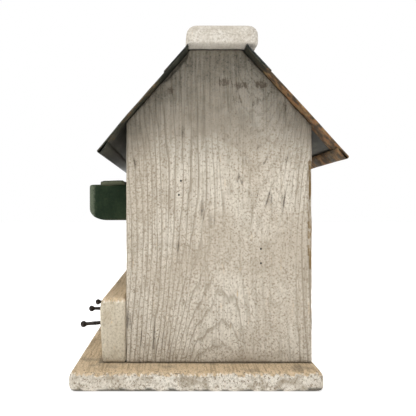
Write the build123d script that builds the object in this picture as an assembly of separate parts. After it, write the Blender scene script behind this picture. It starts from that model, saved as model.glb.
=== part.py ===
from build123d import *
import os
from dataclasses import dataclass
from math import cos, radians, sin, tan

# A long rustic birdhouse: board walls between two gable ends, a tin roof with a wooden ridge
# cap, a rail with three iron perch pegs, a green window box and a clean-out door at the back.
#
# Frame: the front faces -Y, the ridge runs along X, +Z is up. The origin is the centre of the
# base board's underside. All sizes are in millimetres.

# ---------------------------------------------------------------- driving dimensions

BOARD = 19.0  # thickness of the base and gable boards
THIN_BOARD = 12.0  # thickness of the walls between the gables

BASE_X = 381.0
BASE_Y = 240.2

HOUSE_X = 318.0  # length over the outer faces of the gables
GABLE_FRONT_Y = -68.4
GABLE_REAR_Y = 115.6

RIDGE_Z = 328.3  # flat top of the gables
RIDGE_FRONT_Y = -5.3
RIDGE_REAR_Y = 46.4
FRONT_PITCH = 48.8  # degrees
REAR_PITCH = 47.1

TIN = 0.75  # sheet metal thickness
ROOF_OVERHANG_X = 16.3  # past each gable
FRONT_EAVE_Y = -94.6
REAR_EAVE_Y = 146.4
GABLE_HEM = 30.0  # width folded under along the gable edges
EAVE_HEM = 13.0  # width folded under along the eave
EAVE_LIP = 2.6  # drop of the open fold under the sheet at the eave
FLASHING_WING = 36.0  # each side of the ridge, down the slope
FLASHING_OVERHANG_X = 18.0

CAP_X = 356.0
CAP_FRONT_Y = -9.3
CAP_REAR_Y = 60.7
CAP_THICK = 19.5
CAP_CORNER_R = 10.0
CAP_TOP_R = 9.5
CAP_BOTTOM_R = 2.5

RAIL_DEPTH = 26.0
RAIL_HEIGHT = 64.5
RAIL_FOOT_IN = 2.7  # the worn foot of the rail's front face stands back
RAIL_FOOT_Z = 60.0  # the face is upright above this height
RAIL_ROUND_Y = 5.5
RAIL_ROUND_Z = 12.0

ENTRY_R = 19.0
ENTRY_Z = 121.0
ENTRY_SPACING = 63.0

PEG_R = 2.0
PEG_HEAD_R = 3.85
PEG_DEPTH = 16.0  # driven into the rail
# Each peg: place along the rail, height where it enters, how far it stands out, droop in degrees.
PEGS = {
    "right_perch_peg": (66.0, 41.2, 34.6, 5.7),
    "middle_perch_peg": (4.0, 46.2, 34.4, 1.5),
    "left_perch_peg": (-59.0, 44.3, 35.0, 1.5),
}

BOX_X = 200.0
BOX_DEPTH = 46.5
BOX_BOTTOM_Z = 158.5
BOX_TOP_Z = 197.8
BOX_WALL = 11.0
BOX_CORNER_R = 12.0
BOX_BELLY_Y = 20.0  # rounding of the lower front edge
BOX_BELLY_Z = 14.0
LINER_RISE = 5.5
LINER_EDGE_R = 4.0

DIVIDER = 9.0
DIVIDER_X = 36.5  # centre of each divider

DOOR_OPENING_X = 216.0
DOOR_OPENING_LOW_Z = 46.0
DOOR_OPENING_HIGH_Z = 152.0
DOOR_GAP = 1.5
STOP = 8.0

HINGE_HEIGHT = 32.0
HINGE_LEAF = 17.0
HINGE_THICK = 1.2
KNUCKLE_R = 2.6
HINGE_PIN_R = 1.25
PIN_CLEARANCE = 0.05
KNUCKLE_GAP = 0.2
HINGE_INSET_Z = 26.0  # from the door's top or bottom to the hinge's middle

BUTTON_LENGTH = 38.0
BUTTON_WIDTH = 12.0
BUTTON_THICK = 4.0
BUTTON_GAP = 0.2

KNOB_R = 7.0
KNOB_OUT = 10.0
KNOB_INSET_X = 24.0  # from the opening's free end to the knob's middle

STOP_LAP = 6.0  # of each batten over the opening
STOP_REACH = 18.0  # of each batten past the opening's end
STOP_END = 12.0  # of each batten above and below the opening
STOP_RELIEF = 0.3  # planed off where the door comes to rest

HINGE_GAP = 0.5  # between the pin's line and a leaf's edge
HINGE_SCREW_PLACE = 0.68  # of a leaf's width from the pin
HINGE_SCREW_Z = 9.5  # above and below the hinge's middle
PIN_HEAD_THICK = 1.4
PIN_HEAD_ROUND = 0.8

BUTTON_SCREW_R = 1.8
BUTTON_SCREW_CLEARANCE = 0.06
BUTTON_SCREW_LENGTH = 18.0
BUTTON_HEAD_R = 3.6
BUTTON_HEAD_THICK = 1.9
BUTTON_HEAD_ROUND = 1.4
BUTTON_SLOT = 0.8

BASE_CORNER_R = 7.0
BASE_TOP_R = 6.5
BASE_BOTTOM_R = 3.5


@dataclass(frozen=True)
class NailSize:
    """A nail's shank radius, length, head radius and head thickness."""

    radius: float
    length: float
    head_r: float
    head_thick: float


@dataclass(frozen=True)
class ScrewSize:
    """A countersunk screw's shank radius, length and head radius."""

    radius: float
    length: float
    head_r: float


ROOF_NAIL = NailSize(1.2, 22.0, 4.0, 0.9)
CAP_NAIL = NailSize(1.2, 34.0, 2.6, 1.0)
WALL_NAIL = NailSize(0.8, 38.0, 1.2, 1.0)
GABLE_BRAD = NailSize(0.7, 15.0, 0.9, 0.5)
RAIL_NAIL = NailSize(0.9, 36.0, 1.4, 1.0)
BASE_SCREW = ScrewSize(1.9, 44.0, 3.9)
BASE_WALL_SCREW = ScrewSize(1.6, 40.0, 3.4)
BOX_SCREW = ScrewSize(1.5, 24.0, 3.2)
HINGE_SCREW = ScrewSize(1.3, 10.0, 2.6)
KNOB_SCREW = ScrewSize(1.4, 18.0, 2.9)

# ---------------------------------------------------------------- worked-out planes

GABLE_OUT_X = HOUSE_X / 2
GABLE_IN_X = GABLE_OUT_X - BOARD
FRONT_IN_Y = GABLE_FRONT_Y + THIN_BOARD
REAR_IN_Y = GABLE_REAR_Y - THIN_BOARD
RAIL_FRONT_Y = GABLE_FRONT_Y - RAIL_DEPTH
CAP_LOW_Z = RIDGE_Z + TIN
DOOR_MID_Z = (DOOR_OPENING_LOW_Z + DOOR_OPENING_HIGH_Z) / 2
HINGES = {
    "lower_hinge": DOOR_OPENING_LOW_Z + HINGE_INSET_Z,
    "upper_hinge": DOOR_OPENING_HIGH_Z - HINGE_INSET_Z,
}
HINGE_X = -DOOR_OPENING_X / 2 + DOOR_GAP / 2
BUTTON_X = DOOR_OPENING_X / 2 + BUTTON_WIDTH / 2 + 3.0
KNOB_X = DOOR_OPENING_X / 2 - KNOB_INSET_X
HINGE_Y = GABLE_REAR_Y + KNUCKLE_R


# ---------------------------------------------------------------- helpers


def block(x, y, z):
    """A box from its low and high values along each axis."""
    size = (x[1] - x[0], y[1] - y[0], z[1] - z[0])
    middle = ((x[0] + x[1]) / 2, (y[0] + y[1]) / 2, (z[0] + z[1]) / 2)
    return Pos(*middle) * Box(*size)


def prism(points, low_x, high_x, round_stretch=None):
    """A solid along X from (Y, Z) points, closed by a straight line or a round stretch."""
    if round_stretch is None:
        edges = Polyline(*points, close=True)
    else:
        edges = Polyline(*points) + round_stretch
    outline = Plane.YZ * make_face(edges)
    return Pos(low_x, 0, 0) * extrude(outline, high_x - low_x, dir=(1, 0, 0))


def rod(start, direction, radius, length):
    """A round rod from its start along a direction."""
    return Plane(start, z_dir=direction) * Cylinder(
        radius, length, align=(Align.CENTER, Align.CENTER, Align.MIN)
    )


@dataclass
class Fastener:
    """A fastener and the hole that it needs, open outwards over its head."""

    solid: object
    hole: object


def nail(head, direction, size):
    """A nail with a flat round head, whose outer face is at head."""
    shank = rod(head, direction, size.radius, size.length)
    solid = shank + rod(head, direction, size.head_r, size.head_thick)
    outwards = tuple(-part for part in direction)
    return Fastener(solid, solid + rod(head, outwards, size.head_r, 1.0))


def screw(head, direction, size):
    """A countersunk wood screw with a straight slot, whose flat face is at head."""
    place = Plane(head, z_dir=direction)
    low = (Align.CENTER, Align.CENTER, Align.MIN)
    cone_length = size.head_r - size.radius
    cone = place * Cone(size.head_r, size.radius, cone_length, align=low)
    slot = place * Box(2.2 * size.head_r, 0.22 * size.head_r, 0.45 * cone_length, align=low)
    blank = cone + rod(head, direction, size.radius, size.length)
    outwards = tuple(-part for part in direction)
    return Fastener(blank - slot, blank + rod(head, outwards, size.head_r, 1.0))


def front_slope(along, out):
    """(Y, Z) at a distance down the front slope from the ridge and out from it."""
    a = radians(FRONT_PITCH)
    y = RIDGE_FRONT_Y - along * cos(a) - out * sin(a)
    return y, RIDGE_Z - along * sin(a) + out * cos(a)


def rear_slope(along, out):
    """(Y, Z) at a distance down the rear slope from the ridge and out from it."""
    a = radians(REAR_PITCH)
    y = RIDGE_REAR_Y + along * cos(a) + out * sin(a)
    return y, RIDGE_Z - along * sin(a) + out * cos(a)


def front_slope_z(y):
    """Height of the bare front slope at y."""
    return RIDGE_Z - (RIDGE_FRONT_Y - y) * tan(radians(FRONT_PITCH))


def rear_slope_z(y):
    """Height of the bare rear slope at y."""
    return RIDGE_Z - (y - RIDGE_REAR_Y) * tan(radians(REAR_PITCH))


# ---------------------------------------------------------------- base and gables


def base_board():
    """The board that the house stands on, rounded over by wear."""
    board = block((-BASE_X / 2, BASE_X / 2), (-BASE_Y / 2, BASE_Y / 2), (0, BOARD))
    board = fillet(board.edges().filter_by(Axis.Z), BASE_CORNER_R)
    board = fillet(board.edges().group_by(Axis.Z)[-1], BASE_TOP_R)
    return fillet(board.edges().group_by(Axis.Z)[0], BASE_BOTTOM_R)


def gable(low_x):
    """One end board with its two roof slopes and flat top."""
    outline = [
        (GABLE_FRONT_Y, BOARD),
        (GABLE_REAR_Y, BOARD),
        (GABLE_REAR_Y, rear_slope_z(GABLE_REAR_Y)),
        (RIDGE_REAR_Y, RIDGE_Z),
        (RIDGE_FRONT_Y, RIDGE_Z),
        (GABLE_FRONT_Y, front_slope_z(GABLE_FRONT_Y)),
    ]
    return prism(outline, low_x, low_x + BOARD)


# ---------------------------------------------------------------- walls and inside


def front_wall():
    """The wall with the three round entries."""
    outline = [
        (GABLE_FRONT_Y, BOARD),
        (FRONT_IN_Y, BOARD),
        (FRONT_IN_Y, front_slope_z(FRONT_IN_Y)),
        (GABLE_FRONT_Y, front_slope_z(GABLE_FRONT_Y)),
    ]
    wall = prism(outline, -GABLE_IN_X, GABLE_IN_X)
    for x in (-ENTRY_SPACING, 0, ENTRY_SPACING):
        wall -= rod((x, GABLE_FRONT_Y - 1, ENTRY_Z), (0, 1, 0), ENTRY_R, THIN_BOARD + 2)
    return wall


def rear_wall():
    """The back wall with the opening for the clean-out door."""
    outline = [
        (REAR_IN_Y, BOARD),
        (GABLE_REAR_Y, BOARD),
        (GABLE_REAR_Y, rear_slope_z(GABLE_REAR_Y)),
        (REAR_IN_Y, rear_slope_z(REAR_IN_Y)),
    ]
    half = DOOR_OPENING_X / 2
    opening = block(
        (-half, half),
        (REAR_IN_Y - 1, GABLE_REAR_Y + 1),
        (DOOR_OPENING_LOW_Z, DOOR_OPENING_HIGH_Z),
    )
    return prism(outline, -GABLE_IN_X, GABLE_IN_X) - opening


def divider(middle_x):
    """A board between two nests, cut to the roof and under the ridge board."""
    rear_y = REAR_IN_Y - 0.5
    outline = [
        (FRONT_IN_Y, BOARD),
        (rear_y, BOARD),
        (rear_y, rear_slope_z(rear_y)),
        rear_slope(BOARD / sin(radians(REAR_PITCH)), 0),
        front_slope(BOARD / sin(radians(FRONT_PITCH)), 0),
        (FRONT_IN_Y, front_slope_z(FRONT_IN_Y)),
    ]
    return prism(outline, middle_x - DIVIDER / 2, middle_x + DIVIDER / 2)


def ridge_board():
    """The board between the gables that the cap is nailed to."""
    outline = [
        (RIDGE_FRONT_Y, RIDGE_Z),
        (RIDGE_REAR_Y, RIDGE_Z),
        rear_slope(BOARD / sin(radians(REAR_PITCH)), 0),
        front_slope(BOARD / sin(radians(FRONT_PITCH)), 0),
    ]
    return prism(outline, -GABLE_IN_X, GABLE_IN_X)


# ---------------------------------------------------------------- roof


def roof_sheet(slope, pitch, run_y):
    """A tin sheet, folded double under its gable edges and folded open along the eave."""
    half = GABLE_OUT_X + ROOF_OVERHANG_X
    top = 2.0
    end = run_y / cos(radians(pitch))
    sheet = prism(
        [slope(top, TIN), slope(end, TIN), slope(end, 2 * TIN), slope(top, 2 * TIN)],
        -half,
        half,
    )
    hem = [slope(top, 0), slope(end, 0), slope(end, TIN), slope(top, TIN)]
    for low in (-half, half - GABLE_HEM):
        sheet += prism(hem, low, low + GABLE_HEM)
    lip = [
        slope(end - EAVE_HEM, 0),
        slope(end - EAVE_HEM, TIN),
        slope(end, TIN),
        slope(end, 2 * TIN),
        slope(end + 0.8, TIN),
        slope(end + 1.0, -0.5 * EAVE_LIP),
        slope(end, -EAVE_LIP),
        slope(end - 1.5, -EAVE_LIP),
    ]
    return sheet + prism(lip, -half, half)


def flashing_bend(slope, pitch, out, z):
    """Where the flashing's wing meets its flat top, at a height."""
    a = radians(pitch)
    return slope((RIDGE_Z + out * cos(a) - z) / sin(a), out)


def ridge_flashing():
    """A strip of tin bent over the ridge, lapping both roof sheets."""
    half = GABLE_OUT_X + FLASHING_OVERHANG_X
    inner, outer = 2 * TIN, 3 * TIN
    outline = [
        front_slope(FLASHING_WING, inner),
        front_slope(FLASHING_WING, outer),
        flashing_bend(front_slope, FRONT_PITCH, outer, CAP_LOW_Z),
        flashing_bend(rear_slope, REAR_PITCH, outer, CAP_LOW_Z),
        rear_slope(FLASHING_WING, outer),
        rear_slope(FLASHING_WING, inner),
        flashing_bend(rear_slope, REAR_PITCH, inner, RIDGE_Z),
        flashing_bend(front_slope, FRONT_PITCH, inner, RIDGE_Z),
    ]
    return prism(outline, -half, half)


def ridge_cap():
    """The worn wooden cap board along the ridge."""
    high_z = CAP_LOW_Z + CAP_THICK
    cap = block((-CAP_X / 2, CAP_X / 2), (CAP_FRONT_Y, CAP_REAR_Y), (CAP_LOW_Z, high_z))
    cap = fillet(cap.edges().filter_by(Axis.Z), CAP_CORNER_R)
    cap = fillet(cap.edges().group_by(Axis.Z)[-1], CAP_TOP_R)
    return fillet(cap.edges().group_by(Axis.Z)[0], CAP_BOTTOM_R)


# ---------------------------------------------------------------- front pieces


def perch_rail():
    """The rail along the foot of the front wall, eased over at its top front edge."""
    top_z = BOARD + RAIL_HEIGHT
    middle = (RAIL_FRONT_Y + RAIL_ROUND_Y, top_z - RAIL_ROUND_Z)
    rounding = EllipticalCenterArc(middle, RAIL_ROUND_Y, RAIL_ROUND_Z, start_angle=90, arc_size=90)
    outline = [
        (RAIL_FRONT_Y, top_z - RAIL_ROUND_Z),
        (RAIL_FRONT_Y, RAIL_FOOT_Z),
        (RAIL_FRONT_Y + RAIL_FOOT_IN, BOARD),
        (GABLE_FRONT_Y, BOARD),
        (GABLE_FRONT_Y, top_z),
        (RAIL_FRONT_Y + RAIL_ROUND_Y, top_z),
    ]
    return prism(outline, -GABLE_OUT_X, GABLE_OUT_X, rounding)


def perch_peg(x, z, out, droop):
    """A forged round-headed iron peg, driven into the rail and drooping a little."""
    lean = radians(droop)
    direction = (0, -cos(lean), -sin(lean))
    entry = Vector(x, RAIL_FRONT_Y, z)
    start = entry - Vector(*direction) * PEG_DEPTH
    head_at = entry + Vector(*direction) * (out / cos(lean) - PEG_HEAD_R)
    shank = rod(start, direction, PEG_R, PEG_DEPTH + (head_at - entry).length)
    return Fastener(shank + Pos(*head_at) * Sphere(PEG_HEAD_R), shank)


def window_box_blank():
    """The outer form of the window box: a block with a rounded belly and corners."""
    front_y = GABLE_FRONT_Y - BOX_DEPTH
    middle = (front_y + BOX_BELLY_Y, BOX_BOTTOM_Z + BOX_BELLY_Z)
    belly = EllipticalCenterArc(middle, BOX_BELLY_Y, BOX_BELLY_Z, start_angle=180, arc_size=90)
    outline = [
        (front_y + BOX_BELLY_Y, BOX_BOTTOM_Z),
        (GABLE_FRONT_Y, BOX_BOTTOM_Z),
        (GABLE_FRONT_Y, BOX_TOP_Z),
        (front_y, BOX_TOP_Z),
        (front_y, BOX_BOTTOM_Z + BOX_BELLY_Z),
    ]
    long_block = prism(outline, -BOX_X / 2, BOX_X / 2, belly)
    plan = Rectangle(BOX_X, 2 * BOX_DEPTH)
    plan = fillet(plan.vertices(), BOX_CORNER_R)
    keep = Pos(0, GABLE_FRONT_Y, BOX_BOTTOM_Z) * extrude(plan, BOX_TOP_Z - BOX_BOTTOM_Z)
    return long_block & keep


def box_cavity():
    """Low and high corners of the hollow in the window box."""
    half = BOX_X / 2 - BOX_WALL
    return (
        (-half, half),
        (GABLE_FRONT_Y - BOX_DEPTH + BOX_WALL, GABLE_FRONT_Y - 7.0),
        (BOX_BOTTOM_Z + 12.0, BOX_TOP_Z),
    )


def window_box():
    """The green box on the front wall, hollowed from above."""
    x, y, z = box_cavity()
    return window_box_blank() - block(x, y, (z[0], z[1] + 1))


def window_box_liner():
    """The dark insert that fills the box and stands a little above its rim."""
    x, y, z = box_cavity()
    liner = block(x, y, (z[0], z[1] + LINER_RISE))
    return fillet(liner.edges().group_by(Axis.Z)[-1], LINER_EDGE_R)


# ---------------------------------------------------------------- clean-out door


def cleanout_door():
    """The door set flush into the rear wall."""
    half = DOOR_OPENING_X / 2 - DOOR_GAP
    door = block(
        (-half, half),
        (REAR_IN_Y, GABLE_REAR_Y),
        (DOOR_OPENING_LOW_Z + DOOR_GAP, DOOR_OPENING_HIGH_Z - DOOR_GAP),
    )
    return chamfer(door.edges().group_by(Axis.Y)[-1], 1.0)


def door_stops():
    """Two battens inside, over the opening's ends, that the closed door rests against."""
    stops = []
    edge = DOOR_OPENING_X / 2
    low_z, high_z = DOOR_OPENING_LOW_Z - STOP_END, DOOR_OPENING_HIGH_Z + STOP_END
    for side in (-1, 1):
        x = sorted((side * (edge - STOP_LAP), side * (edge + STOP_REACH)))
        batten = block(x, (REAR_IN_Y - STOP, REAR_IN_Y), (low_z, high_z))
        relief = block(
            sorted((side * (edge - STOP_LAP - 1), side * (edge + 0.5))),
            (REAR_IN_Y - STOP_RELIEF, REAR_IN_Y + 1),
            (low_z - 1, high_z + 1),
        )
        stops.append(batten - relief)
    return stops


def hinge_leaf(middle_z, side):
    """One leaf of a surface hinge. side -1 is on the wall, with two knuckles, 1 on the door."""
    x = sorted((HINGE_X + side * HINGE_GAP, HINGE_X + side * HINGE_LEAF))
    low_z = middle_z - HINGE_HEIGHT / 2
    leaf = block(x, (GABLE_REAR_Y, GABLE_REAR_Y + HINGE_THICK), (low_z, low_z + HINGE_HEIGHT))
    third = HINGE_HEIGHT / 3
    own, other = ((1,), (0, 2)) if side > 0 else ((0, 2), (1,))
    for place in other:
        low = (HINGE_X, HINGE_Y, low_z + place * third - KNUCKLE_GAP)
        leaf -= rod(low, (0, 0, 1), KNUCKLE_R + KNUCKLE_GAP, third + 2 * KNUCKLE_GAP)
    for place in own:
        low_gap = KNUCKLE_GAP if place > 0 else 0
        high_gap = KNUCKLE_GAP if place < 2 else 0
        low = (HINGE_X, HINGE_Y, low_z + place * third + low_gap)
        leaf += rod(low, (0, 0, 1), KNUCKLE_R, third - low_gap - high_gap)
    bore = HINGE_PIN_R + PIN_CLEARANCE
    return leaf - rod((HINGE_X, HINGE_Y, low_z - 1), (0, 0, 1), bore, HINGE_HEIGHT + 2)


def hinge_pin(middle_z):
    """The pin through a hinge's three knuckles, with a small domed head on top."""
    low_z = middle_z - HINGE_HEIGHT / 2
    pin = rod((HINGE_X, HINGE_Y, low_z), (0, 0, 1), HINGE_PIN_R, HINGE_HEIGHT + 0.5)
    head_low = (HINGE_X, HINGE_Y, low_z + HINGE_HEIGHT + PIN_CLEARANCE)
    head = rod(head_low, (0, 0, 1), KNUCKLE_R - 0.3, PIN_HEAD_THICK)
    return pin + fillet(head.edges().group_by(Axis.Z)[-1], PIN_HEAD_ROUND)


def hinge_screws(middle_z, side):
    """The screws of one leaf, driven in from behind the house."""
    out_y = GABLE_REAR_Y + HINGE_THICK
    x = HINGE_X + side * HINGE_SCREW_PLACE * HINGE_LEAF
    heights = (middle_z - HINGE_SCREW_Z, middle_z + HINGE_SCREW_Z)
    return [screw((x, out_y, z), (0, -1, 0), HINGE_SCREW) for z in heights]


def turn_button():
    """The wooden button that holds the door, upright in its released position."""
    y = (BUTTON_GAP + GABLE_REAR_Y, BUTTON_GAP + GABLE_REAR_Y + BUTTON_THICK)
    half_z = BUTTON_LENGTH / 2
    button = block(
        (BUTTON_X - BUTTON_WIDTH / 2, BUTTON_X + BUTTON_WIDTH / 2),
        y,
        (DOOR_MID_Z - half_z, DOOR_MID_Z + half_z),
    )
    button = fillet(button.edges().filter_by(Axis.Y), 0.49 * BUTTON_WIDTH)
    button = chamfer(button.edges().group_by(Axis.Y)[-1], 0.8)
    bore = BUTTON_SCREW_R + BUTTON_SCREW_CLEARANCE
    return button - rod((BUTTON_X, y[0] - 1, DOOR_MID_Z), (0, 1, 0), bore, BUTTON_THICK + 2)


def turn_button_screw():
    """The round-headed screw that the button turns on."""
    head_y = GABLE_REAR_Y + 2 * BUTTON_GAP + BUTTON_THICK
    out_y = head_y + BUTTON_HEAD_THICK
    stem = rod((BUTTON_X, out_y, DOOR_MID_Z), (0, -1, 0), BUTTON_SCREW_R, BUTTON_SCREW_LENGTH)
    head = rod((BUTTON_X, head_y, DOOR_MID_Z), (0, 1, 0), BUTTON_HEAD_R, BUTTON_HEAD_THICK)
    head = fillet(head.edges().group_by(Axis.Y)[-1], BUTTON_HEAD_ROUND)
    slot = block(
        (BUTTON_X - BUTTON_HEAD_R, BUTTON_X + BUTTON_HEAD_R),
        (head_y + 0.55 * BUTTON_HEAD_THICK, out_y + 1),
        (DOOR_MID_Z - BUTTON_SLOT / 2, DOOR_MID_Z + BUTTON_SLOT / 2),
    )
    return Fastener(head + stem - slot, stem)


def door_knob_screw():
    """The screw from inside the door into the knob."""
    return screw((KNOB_X, REAR_IN_Y, DOOR_MID_Z), (0, 1, 0), KNOB_SCREW)


def door_knob():
    """A small turned knob near the door's free edge."""
    waist_r = 0.55 * KNOB_R
    profile = [
        (0, 0),
        (0.8 * KNOB_R, 0),
        (waist_r, 0.3 * KNOB_OUT),
        (waist_r, 0.45 * KNOB_OUT),
        (KNOB_R, 0.7 * KNOB_OUT),
        (0.8 * KNOB_R, KNOB_OUT),
        (0, KNOB_OUT),
    ]
    knob = revolve(Plane.XZ * make_face(Polyline(*profile, close=True)), Axis.Z, 360)
    return Pos(KNOB_X, GABLE_REAR_Y, DOOR_MID_Z) * Rot(-90, 0, 0) * knob


# ---------------------------------------------------------------- fasteners


def roof_nails():
    """Flat-headed nails through the tin into the gable slopes."""
    nails = []
    for slope, pitch, run_y in (
        (front_slope, FRONT_PITCH, RIDGE_FRONT_Y - GABLE_FRONT_Y),
        (rear_slope, REAR_PITCH, GABLE_REAR_Y - RIDGE_REAR_Y),
    ):
        length = run_y / cos(radians(pitch))
        side = -1 if slope is front_slope else 1
        into = (0, -side * sin(radians(pitch)), -cos(radians(pitch)))
        for along in (0.5 * length, 0.72 * length, 0.93 * length):
            for side_x in (-1, 1):
                y, z = slope(along, 2 * TIN + ROOF_NAIL.head_thick)
                head = (side_x * (GABLE_OUT_X - BOARD / 2), y, z)
                nails.append(nail(head, into, ROOF_NAIL))
    return nails


def cap_nails():
    """Nails through the cap into the gables and the ridge board."""
    top_z = CAP_LOW_Z + CAP_THICK
    middle_y = (CAP_FRONT_Y + CAP_REAR_Y) / 2
    nails = []
    for x in (-GABLE_OUT_X + BOARD / 2, 0, GABLE_OUT_X - BOARD / 2):
        for y in (middle_y - 16, middle_y + 12):
            nails.append(nail((x, y, top_z + 0.3), (0, 0, -1), CAP_NAIL))
    return nails


def wall_nails():
    """Finishing nails through the gables into the ends of the front and rear walls."""
    nails = []
    for side in (-1, 1):
        for y in (GABLE_FRONT_Y + THIN_BOARD / 2, GABLE_REAR_Y - THIN_BOARD / 2):
            for z in (48.0, 132.0, 216.0):
                head = (side * GABLE_OUT_X, y, z)
                nails.append(nail(head, (-side, 0, 0), WALL_NAIL))
    return nails


def gable_brads():
    """Two pairs of short brads in each gable, set just under the surface."""
    brads = []
    for side in (-1, 1):
        for y, z in ((-14.2, 198.7), (-16.2, 184.8), (64.8, 131.6), (64.8, 117.4)):
            head = (side * (GABLE_OUT_X - 0.4), y, z)
            brads.append(nail(head, (-side, 0, 0), GABLE_BRAD))
    return brads


def rail_nails():
    """Finishing nails through the rail into the front wall."""
    nails = []
    for x in (-132.0, -96.0, 96.0, 132.0):
        nails.append(nail((x, RAIL_FRONT_Y, 66.0), (0, 1, 0), RAIL_NAIL))
    return nails


def base_screws():
    """Countersunk screws up through the base into the gables and walls."""
    screws = []
    for side in (-1, 1):
        x = side * (GABLE_OUT_X - BOARD / 2)
        for y in (GABLE_FRONT_Y + 34, GABLE_REAR_Y - 34):
            screws.append(screw((x, y, 0.2), (0, 0, 1), BASE_SCREW))
    for y in (GABLE_FRONT_Y + THIN_BOARD / 2, GABLE_REAR_Y - THIN_BOARD / 2):
        for x in (-80.0, 80.0):
            screws.append(screw((x, y, 0.2), (0, 0, 1), BASE_WALL_SCREW))
    for x in (-110.0, 110.0):
        screws.append(screw((x, RAIL_FRONT_Y + RAIL_DEPTH / 2, 0.2), (0, 0, 1), BASE_SCREW))
    return screws


def window_box_screws():
    """Screws from inside the house into the back of the window box."""
    return [
        screw((x, FRONT_IN_Y, BOX_BOTTOM_Z + 6.0), (0, -1, 0), BOX_SCREW)
        for x in (-70.0, 70.0)
    ]


# ---------------------------------------------------------------- assembly


def fixed_pieces():
    """Every node that is not a fastener, by name."""
    nodes = {
        "base_board": base_board(),
        "right_gable": gable(GABLE_IN_X),
        "left_gable": gable(-GABLE_OUT_X),
        "front_wall": front_wall(),
        "rear_wall": rear_wall(),
        "right_divider": divider(DIVIDER_X),
        "left_divider": divider(-DIVIDER_X),
        "ridge_board": ridge_board(),
        "front_roof_sheet": roof_sheet(front_slope, FRONT_PITCH, RIDGE_FRONT_Y - FRONT_EAVE_Y),
        "rear_roof_sheet": roof_sheet(rear_slope, REAR_PITCH, REAR_EAVE_Y - RIDGE_REAR_Y),
        "ridge_flashing": ridge_flashing(),
        "ridge_cap": ridge_cap(),
        "perch_rail": perch_rail(),
        "window_box": window_box(),
        "window_box_liner": window_box_liner(),
        "cleanout_door": cleanout_door(),
        "door_stops": Compound(children=door_stops()),
        "turn_button": turn_button(),
        "door_knob": door_knob(),
    }
    for hinge, middle_z in HINGES.items():
        nodes[hinge + "_wall_leaf"] = hinge_leaf(middle_z, -1)
        nodes[hinge + "_door_leaf"] = hinge_leaf(middle_z, 1)
        nodes[hinge + "_pin"] = hinge_pin(middle_z)
    return nodes


def fasteners():
    """Each fastener node: its fasteners and the boards that they pass through."""
    gables = ["right_gable", "left_gable"]
    walls = ["front_wall", "rear_wall"]
    groups = {
        "roof_nails": (roof_nails(), ["front_roof_sheet", "rear_roof_sheet", *gables]),
        "cap_nails": (cap_nails(), ["ridge_cap", "ridge_flashing", "ridge_board", *gables]),
        "wall_nails": (wall_nails(), [*gables, *walls]),
        "gable_brads": (gable_brads(), gables),
        "rail_nails": (rail_nails(), ["perch_rail", "front_wall"]),
        "base_screws": (base_screws(), ["base_board", "perch_rail", *gables, *walls]),
        "window_box_screws": (window_box_screws(), ["front_wall", "window_box"]),
        "turn_button_screw": ([turn_button_screw()], ["rear_wall"]),
        "door_knob_screw": ([door_knob_screw()], ["cleanout_door", "door_knob"]),
    }
    for name, place in PEGS.items():
        groups[name] = ([perch_peg(*place)], ["perch_rail"])
    for hinge, middle_z in HINGES.items():
        wall_leaf = [hinge + "_wall_leaf", "rear_wall"]
        door_leaf = [hinge + "_door_leaf", "cleanout_door"]
        groups[hinge + "_wall_screws"] = (hinge_screws(middle_z, -1), wall_leaf)
        groups[hinge + "_door_screws"] = (hinge_screws(middle_z, 1), door_leaf)
    return groups


def main():
    """Bores each fastener's hole in its boards and writes every node."""
    nodes = fixed_pieces()
    for name, (group, boards) in fasteners().items():
        for board in boards:
            for fastener in group:
                nodes[board] -= fastener.hole
        solids = [fastener.solid for fastener in group]
        nodes[name] = solids[0] if len(solids) == 1 else Compound(children=solids)
    os.makedirs("parts", exist_ok=True)
    for name, shape in nodes.items():
        export_step(shape, f"parts/{name}.step")


main()
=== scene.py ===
"""The looks of a rustic birdhouse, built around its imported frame. Sizes are in metres."""

import logging
import math
from collections.abc import Callable, Sequence
from dataclasses import dataclass, field
from enum import Enum

import bmesh
import bpy
from mathutils import Matrix, Vector, noise


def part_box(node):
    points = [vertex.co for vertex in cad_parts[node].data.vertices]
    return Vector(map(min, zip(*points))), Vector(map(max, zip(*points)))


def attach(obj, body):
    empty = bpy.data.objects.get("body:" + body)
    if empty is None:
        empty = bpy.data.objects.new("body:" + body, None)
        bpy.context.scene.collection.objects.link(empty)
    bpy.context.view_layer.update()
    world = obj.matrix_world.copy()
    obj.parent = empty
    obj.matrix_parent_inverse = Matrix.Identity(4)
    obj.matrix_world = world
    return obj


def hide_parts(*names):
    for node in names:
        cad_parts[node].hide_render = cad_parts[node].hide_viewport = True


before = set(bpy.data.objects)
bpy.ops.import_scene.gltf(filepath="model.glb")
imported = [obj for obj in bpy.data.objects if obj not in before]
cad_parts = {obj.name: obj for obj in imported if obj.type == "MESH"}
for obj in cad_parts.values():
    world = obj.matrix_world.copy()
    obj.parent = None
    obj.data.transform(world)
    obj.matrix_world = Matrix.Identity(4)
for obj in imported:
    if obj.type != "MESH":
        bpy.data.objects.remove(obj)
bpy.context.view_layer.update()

MM = 0.001
LOG = logging.getLogger("birdhouse")

Colour = tuple[float, float, float]


# ---------------------------------------------------------------- the house's section


@dataclass(frozen=True)
class Slope:
    """One roof slope, seen along the ridge: points are (Y, Z)."""

    top: Vector
    down: Vector
    out: Vector

    def at(self, along: float, proud: float) -> Vector:
        """Returns the (Y, Z) point that far down the slope and that far out from it."""
        return self.top + self.down * along + self.out * proud


def make_slope(ridge: Vector, eave: Vector) -> Slope:
    """Makes a slope from its two ends.

    Args:
        ridge: (Y, Z) of the gable's upper corner.
        eave: (Y, Z) of the gable's lower corner.

    Returns:
        The slope, with its outward side up.
    """
    down = (eave - ridge).normalized()
    out = Vector((-down.y, down.x))
    return Slope(ridge, down, out if out.y > 0 else -out)


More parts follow.
